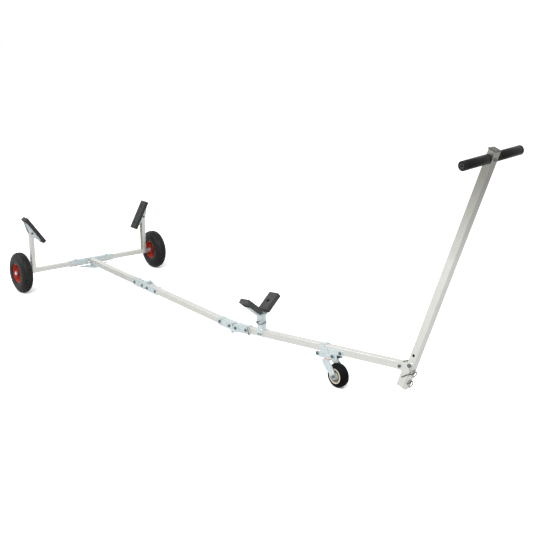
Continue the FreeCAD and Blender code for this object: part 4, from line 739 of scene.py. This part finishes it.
class PaintFrame(bpy.types.Operator):
    """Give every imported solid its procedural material."""
    bl_idname = "trolley.paint_frame"
    bl_label = "Paint Frame"
    bl_options = {"REGISTER", "UNDO"}

    def execute(self, context):
        for name, obj in frame["nodes"].items():
            slot = OWN_FINISH.get(name, SLOTS[name])
            if slot == "tube":
                low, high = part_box(name)
                reach = high - low
                slot = "tube_" + "xyz"[max(range(3), key=lambda i: reach[i])]
            obj.data.materials.clear()
            obj.data.materials.append(finish(slot))
        return {"FINISHED"}


# Half the tyre's section from its crown: share of the half width, fall under the carcass's top in metres
TYRE_SIDE = ((0.0, 0.0), (0.27, 0.0002), (0.46, 0.0020), (0.62, 0.0056), (0.76, 0.0116), (0.88, 0.0198),
             (0.965, 0.0300), (1.0, 0.0412), (0.985, 0.0540), (0.945, 0.0638))
# Tread blocks: inner and outer edge as shares of the half width, then start, length and slant
# as shares of a pitch, and height as a share of the tread's depth
TREAD_BLOCKS = ((0.05, 0.29, 0.0, 0.64, 0.20, 1.0), (0.37, 0.58, 0.28, 0.60, 0.14, 1.0),
                (0.66, 0.86, 0.55, 0.54, 0.0, 0.75))
VALVE_TURN = math.radians(74)  # valve's place round the wheel
VALVE_PLACE = (44.5 * MM, 12 * MM)  # its foot from the wheel's axis, and across from the wheel's middle
# Bearing rings: outer and inner radius, then near and far end across the wheel, in metres
BEARING_RINGS = ((0.0148, 0.0086, 0.0318, 0.0342), (0.0168, 0.0152, 0.0326, 0.0337))


class DressWheels(bpy.types.Operator):
    """Replace each pneumatic tyre by a treaded one and add the wheel's small parts."""
    bl_idname = "trolley.dress_wheels"
    bl_label = "Dress Wheels"
    bl_options = {"REGISTER", "UNDO"}

    def side_profile(self, sizes):
        """Half the tyre's section from its crown to its bead, as (across, radius)."""
        half = sizes.width / 2
        top = sizes.outer_radius - sizes.tread_depth
        lip = sizes.bead_radius + 2.6 * MM
        return [(share * half, top - drop) for share, drop in TYRE_SIDE] + [
            (0.924 * half, lip + 1 * MM), (0.912 * half, lip), (0.78 * half, sizes.bead_radius)]

    def pitch_mesh(self, sizes):
        """One pitch of tread: crown blocks, shoulder blocks and side lugs."""
        profile = self.side_profile(sizes)
        arc = TURN / sizes.pitches
        foot, bevel = 0.8 * MM, 0.4 * MM
        bm = bmesh.new()

        def surface(across):
            """Radius of the carcass at a place across the tread."""
            for (start, upper), (end, lower) in zip(profile, profile[1:]):
                if start <= abs(across) <= end:
                    return upper + (lower - upper) * (abs(across) - start) / (end - start)
            raise ValueError("no tread at %.4f" % across)

        def block(first, last, start, length, slant, height):
            """A block between two places across, with its top drawn in."""
            outward = 1 if last > first else -1
            corners = ((first, start, 1, 1), (last, start + slant, -1, 1),
                       (last, start + slant + length, -1, -1), (first, start + length, 1, -1))
            cover(bm, [
                [bm.verts.new(on_circle(surface(across) + rise, across + inward * inset * outward,
                                        turn + onward * inset / sizes.outer_radius))
                 for across, turn, inward, onward in corners]
                for inset, rise in ((0.0, -foot), (0.0, height - bevel), (bevel, height))])

        for hand in WAYS:
            half = hand * sizes.width / 2
            shift = 0.0 if hand > 0 else 0.5 * arc
            for first, last, start, length, slant, height in TREAD_BLOCKS:
                block(first * half, last * half, shift + start * arc, length * arc, slant * arc,
                      height * sizes.tread_depth)
        return mesh_from(bm, "Tread Pitch")

    def small_parts(self, place, hand, side):
        """Valve and bearing rings of one wheel."""
        bm = bmesh.new()
        out, across = VALVE_PLACE
        valve = (place @ Matrix.Rotation(-VALVE_TURN, 4, "Y") @ Matrix.Translation((out, hand * across, 0))
                 @ Matrix.Rotation(0 if hand > 0 else math.pi, 4, "X"))
        pegs(bm, valve, ((2.8, (0, 0, 0), 17, "Y", 16), (3.9, (0, 9, 0), 10, "Y", 16)))
        put_on("valve_" + side, bm, "wheel_" + side, "tyre")
        bm = bmesh.new()
        for outer, inner, start, end in BEARING_RINGS:
            for way in (1, -1):
                lathe(bm, [(way * start, inner), (way * start, outer), (way * (end - 0.0005), outer),
                           (way * end, outer - 0.0005), (way * end, inner)], 48, place)
        put_on("bearing_" + side, bm, "wheel_" + side, "fastener")

    def execute(self, context):
        sizes = context.scene.trolley_tyre
        tree = tread_tree()
        pitch = link(bpy.data.objects.new("Tread Pitch", self.pitch_mesh(sizes)))
        for hand, side in SIDES:
            place = Matrix.Translation(joint_place("wheel_%s_spin" % side))
            carcass = mesh_from(lathed(both_sides(self.side_profile(sizes)), 144), "Carcass")
            tyre = run_tree(tree, carcass, {
                "Pitch": pitch, "Count": sizes.pitches, "Material": finish("tyre")})
            tyre.transform(place)
            put_on("tyre_" + side, tyre, "wheel_" + side, None, ("wheel_%s_tyre" % side,))
            self.small_parts(place, hand, side)
        bpy.data.objects.remove(pitch)
        return {"FINISHED"}


# Half the castor tyre's tread: share of the half width, fall under the top in metres
CASTOR_SIDE = ((0.0, 0.0), (0.30, 0.0003), (0.55, 0.0014), (0.74, 0.0037), (0.88, 0.0072), (0.97, 0.0118),
               (1.0, 0.0162))
# Seal's section: height over the front bar's middle, fall under the seal's radius, in metres
SEAL_RING = ((0.0471, 0.0035), (0.0474, 0.001), (0.0486, 0.0), (0.0500, 0.0004), (0.0506, 0.002),
             (0.0506, 0.006), (0.0471, 0.006))


class DressCastor(bpy.types.Operator):
    """Replace the castor's tyre by a rounded one and add its hub shields, whose dark brown also paints the
    recess's shade, and its dust seal.
    """
    bl_idname = "trolley.dress_castor"
    bl_label = "Dress Castor"
    bl_options = {"REGISTER", "UNDO"}

    def execute(self, context):
        sizes = context.scene.trolley_castor
        half, foot = sizes.width / 2, sizes.hub_radius
        right = [(share * half, sizes.radius - drop) for share, drop in CASTOR_SIDE]
        right += [(0.985 * half, foot + 3 * MM), (0.95 * half, foot + 1.2 * MM), (0.90 * half, foot)]
        spin = Matrix.Translation(joint_place("castor_spin"))
        put_on("castor_tyre", lathed(both_sides(right), 120, spin), "castor_wheel", "castor_tyre",
               ("castor_wheel_tyre",))
        # shields on the floor of the hub's recess: a real part whose dark brown also stands in for the recess's
        # shade
        bm = bmesh.new()
        floor, near, far, edge = half - sizes.hub_recess, sizes.shield_inner, sizes.shield_outer, 1 * MM
        ring = ((-0.4, near), (0.6, near), (1.0, near + edge), (1.0, far - edge), (0.6, far), (-0.4, far))
        for way in (1, -1):
            lathe(bm, [(way * (floor + rise * MM), radius) for rise, radius in ring], 64, spin)
        put_on("hub_shields", bm, "castor_wheel", "shield")
        upright = section_frames()["castor"] @ Matrix.Rotation(-QUARTER, 4, "X")
        seal = lathed([(height, sizes.seal_radius - drop) for height, drop in SEAL_RING], 64, upright)
        put_on("swivel_seal", seal, "castor_fork", "seal")
        return {"FINISHED"}


class DressRubber(bpy.types.Operator):
    """Replace the side pads and keel blocks by moulded ones with rounded edges."""
    bl_idname = "trolley.dress_rubber"
    bl_label = "Dress Rubber"
    bl_options = {"REGISTER", "UNDO"}

    def moulding(self, name, low, high, rounding, place, cutters, body, look, node):
        """A rounded block with its holes cut."""
        blank = mesh_from(soft_box(low, high, rounding, 4, place), name)
        block = link(bpy.data.objects.new(name + "_block", blank))
        tools = [link(bpy.data.objects.new(name + "_tool", cutter)) for cutter in cutters]
        for tool in tools:
            change = block.modifiers.new("Cut", "BOOLEAN")
            change.operation = "DIFFERENCE"
            change.solver = "EXACT"
            change.object = tool
        mesh = evaluated_mesh(block)
        for tool in tools:
            bpy.data.objects.remove(tool)
        put_on(name, mesh, body, look, (node,))
        for face in mesh.polygons:
            face.use_smooth = face.area < FLAT_FACE

    def drill(self, radius, start, length, place):
        bm = bmesh.new()
        peg(bm, radius, start, length, place, "Z", 40, chamfer=0.0)
        return mesh_from(bm, "Drill")

    def side_pad(self, side, place, sizes):
        """Long pad with two sunk screw holes, lipped over the ends of its plate."""
        half_width, half_length = sizes.pad_width / 2, sizes.pad_length / 2
        top = sizes.pad_seat + sizes.pad_thickness
        plate_half, lip = 75.3 * MM, 2 * MM
        hole, sink, sink_depth = 4 * MM, 6.4 * MM, 9 * MM
        relief = soft_box((-half_width - lip, -plate_half, 0), (half_width + lip, plate_half, sizes.pad_seat),
                          0.1 * MM, 1, place)
        cutters = [mesh_from(relief, "Relief", recalculate=False)]
        screws = bmesh.new()
        through = sizes.pad_thickness + 6 * MM
        for way in WAYS:
            across = way * sizes.pad_hole_place
            cutters.append(self.drill(hole, (0, across, sizes.pad_seat - 3 * MM), through, place))
            cutters.append(self.drill(sink, (0, across, top - sink_depth), sink_depth + 3 * MM, place))
            # screw heads at the bottoms of the sunk holes, coloured near-black as painted shade in the holes
            peg(screws, sink - 0.1 * MM, (0, across, top - sink_depth + 0.1 * MM), 1.5 * MM, place, "Z", 32)
        self.moulding("pad_rubber_" + side, (-half_width, -half_length, sizes.pad_seat - lip),
                      (half_width, half_length, top), sizes.rounding, place, cutters, "pad_" + side, "rubber",
                      "pad_%s_rubber" % side)
        put_on("pad_screws_" + side, screws, "pad_" + side, "dark")

    def keel_block(self, side, hand, sizes, bar):
        """Block with a hollow under it and a boss round its bolt hole."""
        slope, half = sizes.block_slope, sizes.block_width / 2
        fold_height = 75.5 * MM
        corner = (0, hand * (bar.bar_half - bar.plate * math.sin(slope)),
                  fold_height + bar.plate * math.cos(slope))
        place = section_frames()["keel"] @ turned_at(corner, hand * slope, "X")
        near, far = sorted((hand * sizes.block_start, hand * (sizes.block_start + sizes.block_length)))
        middle = (near + far) / 2
        wall, recess, bolt_hole, boss = 8 * MM, 5 * MM, 10 * MM, 15.5 * MM
        hollow = soft_box((-half + wall, near + wall, -2 * MM), (half - wall, far - wall, recess),
                          0.8 * MM, 2, place)
        cutters = [mesh_from(hollow, "Hollow", recalculate=False),
                   self.drill(bolt_hole, (0, middle, recess), 40 * MM, place)]
        self.moulding("keel_rubber_" + side, (-half, near, 0), (half, far, sizes.block_thickness),
                      sizes.rounding, place, cutters, "keel_support", "keel_rubber", "keel_block_" + side)
        upright = place @ Matrix.Translation((0, middle, 0)) @ Matrix.Rotation(QUARTER, 4, "X")
        roof = recess + 0.4 * MM
        ring = lathed([(0.0, bolt_hole), (0.0, boss), (roof, boss), (roof, bolt_hole)], 40, upright)
        put_on("keel_boss_" + side, ring, "keel_support", "keel_rubber")
        bm = bmesh.new()
        # painted shade: a near-black disc under the bolt hole darkens the hole's bottom
        peg(bm, bolt_hole - 0.1 * MM, (0, middle, 0.6 * MM), 5 * MM, place, "Z", 36)
        put_on("keel_plug_" + side, bm, "keel_support", "dark")

    def execute(self, context):
        sizes = context.scene.trolley_rubber
        slopes = {"right": sizes.slope_right, "left": sizes.slope_left}
        for hand, side in SIDES:
            place = turned_at(joint_place("pad_%s_tilt" % side), hand * slopes[side], "X")
            self.side_pad(side, place, sizes)
            self.keel_block(side, hand, sizes, context.scene.trolley_frame)
        return {"FINISHED"}


class DressGrips(bpy.types.Operator):
    """Replace the foam grips by rounded ones with fine rings, and plug the T bar's ends."""
    bl_idname = "trolley.dress_grips"
    bl_label = "Dress Grips"
    bl_options = {"REGISTER", "UNDO"}

    def foam_profile(self, sizes, hand):
        """A grip's section, with rounded ends and two fine grooves near each."""
        start, end = sorted((hand * sizes.start, hand * sizes.end))
        radius, bore, nose = sizes.radius, sizes.bore + 0.1 * MM, 3.5 * MM
        turns = [step / 6 * QUARTER for step in range(7)]
        rounded = [(nose * (1 - math.cos(turn)), radius - nose + nose * math.sin(turn)) for turn in turns]
        near, far = nose + 3 * MM, nose + 7 * MM
        grooves = [(place + shift * MM, radius - depth)
                   for place in (start + near, start + far, end - far, end - near)
                   for shift, depth in ((-0.8, 0.0), (-0.4, 0.2 * MM), (0.4, 0.2 * MM), (0.8, 0.0))]
        return ([(start, bore)] + [(start + along, reach) for along, reach in rounded] + grooves
                + [(end - along, reach) for along, reach in reversed(rounded)] + [(end, bore)])

    def execute(self, context):
        sizes = context.scene.trolley_grip
        bar = (section_frames()["handle"] @ Matrix.Translation((0, 0, sizes.height))
               @ Matrix.Rotation(sizes.tilt, 4, "X"))
        low, high, hole = sizes.end - 2.6 * MM, sizes.end - 1.0 * MM, 4.2 * MM
        plug = ((low, hole), (low, sizes.bore - 0.1 * MM), (high - 0.5 * MM, sizes.bore - 0.1 * MM),
                (high, sizes.bore - 0.8 * MM), (high, hole + 0.6 * MM), (high - 0.6 * MM, hole))
        for hand, side in SIDES:
            grip = put_on("grip_foam_" + side, lathed(self.foam_profile(sizes, hand), 72, bar), "handle",
                          "foam", ("handle_grip_" + side,))
            stopper = lathed([(hand * along, radius) for along, radius in plug], 48, bar)
            put_on("grip_plug_" + side, stopper, "handle", "rubber")
        return {"FINISHED"}


# Cross bolts: body, frame, then in millimetres the place along and over the bar, and half the width over it
CROSS_BOLTS = (
    ("drawbar_rear", "fold_1", -118, 0, 20.5), ("drawbar_rear", "fold_1", -31, 0, 20.5),
    ("drawbar_middle", "fold_1", 31, 0, 23.8), ("drawbar_middle", "fold_1", 118, 0, 20.5),
    ("drawbar_middle", "fold_2", -118, 0, 20.5), ("drawbar_middle", "fold_2", -31, 0, 20.5),
    ("drawbar_front", "front", 31, 0, 23.8), ("drawbar_front", "front", 118, 0, 20.5),
    ("drawbar_front", "castor", 92, -7, 20.5), ("drawbar_front", "castor", -67, -31, 20.5),
    ("drawbar_front", "castor", 37, -31, 20.5),
)
BOLT_RADIUS = 4 * MM
NUT_DEPTH = 5  # millimetres from a nut's washer to its collar


class DressBolts(bpy.types.Operator):
    """Set a washer, a nut collar and the bolt's own end at every cross bolt."""
    bl_idname = "trolley.dress_bolts"
    bl_label = "Dress Bolts"
    bl_options = {"REGISTER", "UNDO"}

    def washer(self):
        """A chamfered washer for a bolt of unit radius, lying on its local XZ plane."""
        return mesh_from(lathed([(0.0, 1.1), (0.0, 2.2), (0.2, 2.2), (0.3, 2.1), (0.3, 1.1)], 36), "Washer")

    def nut_end(self):
        """The locking collar and threaded end that stand out of a nut, for a bolt of unit radius."""
        bm = bmesh.new()
        lathe(bm, [(0.0, 1.5), (0.35, 1.5), (0.5, 1.3), (0.5, 0.98)], 32, closed=False)
        lathe(bm, [(0.4, 0.5), (0.4, 0.9), (0.85, 0.9), (1.0, 0.72), (1.0, 0.2)], 20, closed=False)
        return mesh_from(bm, "Nut End")

    def spots(self, body, ways, depth):
        """Place, heading and girth of a part on each of one body's bolts."""
        frames, found = section_frames(), []
        for owner, place, along, over, half in CROSS_BOLTS:
            for way in ways if owner == body else ():
                heading = frames[place].to_3x3() @ Matrix.Rotation(0 if way > 0 else math.pi, 3, "X")
                local = Vector((along, way * half + depth, over)) * MM
                found.append((frames[place] @ local, heading.to_euler(), BOLT_RADIUS))
        return found

    def execute(self, context):
        tree = fastener_tree()
        for kind, pattern, ways, depth in (("washers", self.washer(), WAYS, 0),
                                           ("nut_ends", self.nut_end(), (1,), NUT_DEPTH)):
            for body in ("drawbar_rear", "drawbar_middle", "drawbar_front"):
                mesh = spread_part(tree, pattern, self.spots(body, ways, depth), finish("fastener"))
                put_on("%s_%s" % (body, kind), mesh, body, None)
        return {"FINISHED"}


# Cover strips: piece, body, frame, then start and end along the bar in millimetres
FOLD_COVERS = (
    ("fold_1_cover_rear", "drawbar_rear", "fold_1", -137, -22),
    ("fold_2_cover_rear", "drawbar_middle", "fold_2", -137, -4),
    ("fold_2_cover_front", "drawbar_front", "front", 13, 137),
)


class DressFolds(bpy.types.Operator):
    """Lay the galvanised cover strips on top of the drawbar's folds."""
    bl_idname = "trolley.dress_folds"
    bl_label = "Dress Folds"
    bl_options = {"REGISTER", "UNDO"}

    def execute(self, context):
        bar_half = context.scene.trolley_frame.bar_half
        frames = section_frames()
        top, half, thick = bar_half + 0.1 * MM, bar_half - 0.2 * MM, 2 * MM
        for name, body, place, start, end in FOLD_COVERS:
            low, high = (start * MM, -half, top), (end * MM, half, top + thick)
            put_on(name, soft_box(low, high, 0.5 * MM, 2, frames[place]), body, "galvanised",
                   smooth=False)
        return {"FINISHED"}


# Control points of the wires, in millimetres in the frame of the part that each hangs on
KEEL_CLIP = ((-24, -21.5, 30), (0, -21.5, 32), (19, -20.5, 33), (21, -12, 34), (21, 16, 39), (23, 22, 40))
FOLD_CLIP = ((141, -19, 19.5), (142, -24, 14), (143.5, -24.5, 0), (143.5, -24.5, -14), (142, -22, -21),
             (140, -12, -22))
HANDLE_BOWS = (
    ((-13, -25.5, -71.4), (0, -25.5, -54), (13, -25.3, -38), (21, -22, -33.5), (23.5, -12, -31),
     (23.5, 4, -28.5), (23.5, 13, -27), (24, 18, -31), (24, 20, -39), (23.5, 17, -48), (22.5, 11, -54),
     (22, 7, -57)),
    ((20.5, -20, -87), (21.5, -14, -85), (22, -4, -82.5), (22.5, 6, -80), (23, 12, -80), (23.5, 17, -87),
     (23.5, 19, -97), (23.5, 16, -108), (22, 8, -113)),
)
CHAIN_TOP = (1273, -28.5, 6)
CHAIN_STEP = (1.1, 0, -3.7)
CHAIN_LINKS = 7


class DressPins(bpy.types.Operator):
    """Add the lock pins, wire clips, chain and small bolts that the solids leave out."""
    bl_idname = "trolley.dress_pins"
    bl_label = "Dress Pins"
    bl_options = {"REGISTER", "UNDO"}

    def bracket_pins(self, frames):
        """Heads over the axle bracket and nubs under it, which hold the arms out."""
        bm = bmesh.new()
        ring = [(11 * math.cos(step / 10 * TURN) + 9, 11 * math.sin(step / 10 * TURN), 25)
                for step in range(10)]
        for way in WAYS:
            place = frames["axle"] @ Matrix.Translation((0, way * 116 * MM, 0))
            pegs(bm, place, ((8, (0, 0, 18.2), 4, "Z", 32, 1.2), (4, (0, 0, 22), 6, "Z", 24, 1),
                             (4, (0, 0, -18.2), -9, "Z", 24, 1.2)))
            wire(bm, ring, 1.1, place, cyclic=True)
        put_on("bracket_lock_pins", bm, "drawbar_rear", "galvanised")

    def keel_pins(self, frames):
        """Wire clip round the sleeve, the pin that it holds and the saddle's bolts."""
        bm = bmesh.new()
        wire(bm, KEEL_CLIP, 1.6, frames["keel"])
        pegs(bm, frames["keel"], ((3.4, (-6, -26, 44), 50, "Y", 22), (5.6, (-6, -26, 44), -3, "Y", 24)))
        put_on("keel_lock_pins", bm, "keel_support", "wire")
        bm = bmesh.new()
        for x in (-7, 12):
            for way in WAYS:
                pegs(bm, frames["keel"], ((4.6, (x, way * 20.4, -20), way * 4, "Y", 6),
                                          (2.8, (x, way * 24, -20), way * 3.5, "Y", 20)))
        put_on("saddle_bolts", bm, "drawbar_front", "fastener")

    def clips(self, frames):
        """Spring clip at the second fold's shoe, and two wire bows round the handle's foot."""
        bm = bmesh.new()
        wire(bm, FOLD_CLIP, 2.0, frames["front"])
        put_on("fold_2_clip", mesh_from(bm, "Clip", recalculate=False), "drawbar_front", "wire")
        bm = bmesh.new()
        for path in HANDLE_BOWS:
            wire(bm, path, 2.2, frames["handle"])
        put_on("handle_wire_pins", mesh_from(bm, "Bows", recalculate=False), "handle", "bow")

    def hanging_chain(self, frames):
        """Short chain on the handle's pivot bolt, every second link turned."""
        spots = [(frames["front"] @ ((Vector(CHAIN_TOP) + step * Vector(CHAIN_STEP)) * MM),
                  Euler((0, 0, QUARTER * (step % 2))), 1.0) for step in range(CHAIN_LINKS)]
        bm = bmesh.new()
        wire(bm, [(1.6 * math.cos(step / 8 * TURN), 0, 2.8 * math.sin(step / 8 * TURN)) for step in range(8)],
             0.55, cyclic=True)
        mesh = spread_part(fastener_tree(), mesh_from(bm, "Link", recalculate=False), spots, finish("wire"))
        put_on("handle_chain", mesh, "drawbar_front", None)

    def grommet(self, frames):
        """Liner of the handle's lock hole, coloured near-black as painted shade inside the hole."""
        bm = bmesh.new()
        place = frames["handle"] @ Matrix.Translation((0, 0, 53 * MM))
        profile = ((14.5, 4.6), (14.5, 4.95), (17.5, 4.95), (17.5, 6.6), (18.3, 6.3), (18.3, 4.6))
        for way in WAYS:
            lathe(bm, [(way * along * MM, radius * MM) for along, radius in profile], 36, place)
        put_on("lock_hole_liner", bm, "handle", "dark")

    def head_bolt(self, frames, height):
        """Bolt that pins the T bar to the handle, front to back."""
        bm = bmesh.new()
        for way, tail in ((-1, 1.6), (1, 3)):
            pegs(bm, frames["handle"] @ Matrix.Translation((0, 0, height)), (
                (7, (way * 17.4, 0, 0), way * 4.5, "X", 6), (3.6, (way * 21, 0, 0), way * tail, "X", 20)))
        put_on("head_bolt", bm, "handle", "fastener")

    def execute(self, context):
        frames = section_frames()
        self.bracket_pins(frames)
        self.keel_pins(frames)
        self.clips(frames)
        self.hanging_chain(frames)
        self.grommet(frames)
        self.head_bolt(frames, context.scene.trolley_grip.height)
        return {"FINISHED"}


class LayWelds(bpy.types.Operator):
    """Run weld beads round the joints between tubes and plates."""
    bl_idname = "trolley.lay_welds"
    bl_label = "Lay Welds"
    bl_options = {"REGISTER", "UNDO"}

    def square(self, place, half, height):
        """A closed path round an upright tube."""
        corners = ((-half, -half), (half, -half), (half, half), (-half, half), (-half, -half))
        return [place @ Vector((x, y, height)) for x, y in corners]

    def execute(self, context):
        frames = section_frames()
        tree = weld_tree()
        runs = {
            "drawbar_front": ("tube_z", self.square(frames["keel"], 15.2 * MM, 3.2 * MM)),
            "keel_support": ("galvanised", self.square(frames["keel"], 17.5 * MM, 75.4 * MM)),
        }
        for hand, side in SIDES:
            runs["arm_" + side] = ("tube_z", [
                frames["axle"] @ on_circle(12 * MM, hand * 440.2 * MM, step / 24 * TURN)
                for step in range(25)])
        for body, (look, path) in runs.items():
            bm = bmesh.new()
            verts = [bm.verts.new(point) for point in path]
            for ends in zip(verts, verts[1:]):
                bm.edges.new(ends)
            mesh = run_tree(tree, mesh_from(bm, "Weld Path", recalculate=False), {
                "Material": finish(look), "Pitch": 2.2 * MM, "Radius": 1.7 * MM, "Seed": 3})
            put_on("weld_" + body, mesh, body, None)
        return {"FINISHED"}


LAMP_AIM = (0, 0, 0.3)
FLOOR_HALF = 60  # metres, so that its edge is out of sight


class SetStage(bpy.types.Operator):
    """Floor, lamps, room light and camera."""
    bl_idname = "trolley.set_stage"
    bl_label = "Set Stage"
    bl_options = {"REGISTER", "UNDO"}

    def floor(self):
        """Pale floor that the camera sees as white, apart from its shadows."""
        bm = bmesh.new()
        bmesh.ops.create_grid(bm, x_segments=1, y_segments=1, size=FLOOR_HALF)
        floor = link(bpy.data.objects.new("Floor", mesh_from(bm, "Floor", recalculate=False)))
        material = bpy.data.materials.new("Studio Floor")
        material.use_nodes = True
        tree = material.node_tree
        shader = tree.nodes["Principled BSDF"]
        shader.inputs["Base Color"].default_value = (0.8, 0.8, 0.8, 1)
        shader.inputs["Roughness"].default_value = 0.9
        seen = add(tree, "ShaderNodeBsdfDiffuse", {"Color": (1.9, 1.9, 1.9, 1)})
        to_camera = add(tree, "ShaderNodeLightPath").outputs["Is Camera Ray"]
        mix = add(tree, "ShaderNodeMixShader", {0: to_camera, 1: shader, 2: seen})
        tree.links.new(mix.outputs[0], tree.nodes["Material Output"].inputs["Surface"])
        floor.data.materials.append(material)

    def lamp(self, name, place, size, power):
        """Round soft lamp that looks at the trolley's middle."""
        data = bpy.data.lights.new(name, "AREA")
        data.shape = "DISK"
        data.size = size
        data.energy = power
        lamp = link(bpy.data.objects.new(name, data))
        lamp.location = place
        lamp.rotation_euler = (Vector(LAMP_AIM) - Vector(place)).to_track_quat("-Z", "Y").to_euler()

    def room(self, strength):
        """White room to the camera and to mirrors, whose light on the trolley has its own strength."""
        world = bpy.data.worlds.new("Studio Room")
        world.use_nodes = True
        tree = world.node_tree
        lit = tree.nodes["Background"]
        lit.inputs["Color"].default_value = (1, 1, 1, 1)
        lit.inputs["Strength"].default_value = strength
        white = add(tree, "ShaderNodeBackground", {"Color": (1, 1, 1, 1), "Strength": 1.0})
        rays = add(tree, "ShaderNodeLightPath").outputs
        seen = maths(tree, "MAXIMUM", rays["Is Camera Ray"], rays["Is Glossy Ray"])
        seen = maths(tree, "MAXIMUM", seen, rays["Is Transmission Ray"])
        mix = add(tree, "ShaderNodeMixShader", {0: seen, 1: lit, 2: white})
        tree.links.new(mix.outputs[0], tree.nodes["World Output"].inputs["Surface"])
        bpy.context.scene.world = world

    def camera(self, settings):
        data = bpy.data.cameras.new("Camera")
        data.lens = settings.lens
        data.clip_end = 100
        camera = link(bpy.data.objects.new("Camera", data))
        camera.location = settings.camera_place
        camera.rotation_euler = Euler((QUARTER - settings.camera_pitch, 0, settings.camera_yaw))
        bpy.context.scene.camera = camera

    def execute(self, context):
        settings = context.scene.trolley_stage
        self.floor()
        self.lamp("Key", (2.4, -3.2, 4.2), 3.2, settings.key_power)
        self.lamp("Fill", (-2.8, -3.6, 3.0), 3.6, settings.fill_power)
        self.room(settings.world_light)
        self.camera(settings)
        context.scene.view_settings.view_transform = "Standard"
        return {"FINISHED"}


STEPS = (PaintFrame, DressWheels, DressCastor, DressRubber, DressGrips, DressBolts, DressFolds, DressPins,
         LayWelds, SetStage)


class TrolleyPanel(bpy.types.Panel):
    """Lists the trolley's steps and settings in the sidebar."""
    bl_idname = "VIEW3D_PT_trolley"
    bl_label = "Launching Trolley"
    bl_space_type = "VIEW_3D"
    bl_region_type = "UI"
    bl_category = "Trolley"

    def draw(self, context):
        for step in STEPS:
            self.layout.operator(step.bl_idname)
        for label, kind in SETTINGS:
            box = self.layout.box()
            box.label(text=kind.__name__)
            for name in kind.__annotations__:
                box.prop(getattr(context.scene, label), name)


def register():
    for label, kind in SETTINGS:
        bpy.utils.register_class(kind)
        setattr(bpy.types.Scene, label, bpy.props.PointerProperty(type=kind))
    for step in STEPS:
        bpy.utils.register_class(step)
    bpy.utils.register_class(TrolleyPanel)


def unregister():
    bpy.utils.unregister_class(TrolleyPanel)
    for step in reversed(STEPS):
        bpy.utils.unregister_class(step)
    for label, kind in reversed(SETTINGS):
        delattr(bpy.types.Scene, label)
        bpy.utils.unregister_class(kind)


def main():
    register()
    for step in STEPS:
        family, name = step.bl_idname.split(".")
        getattr(getattr(bpy.ops, family), name)()


if __name__ == "__main__":
    main()
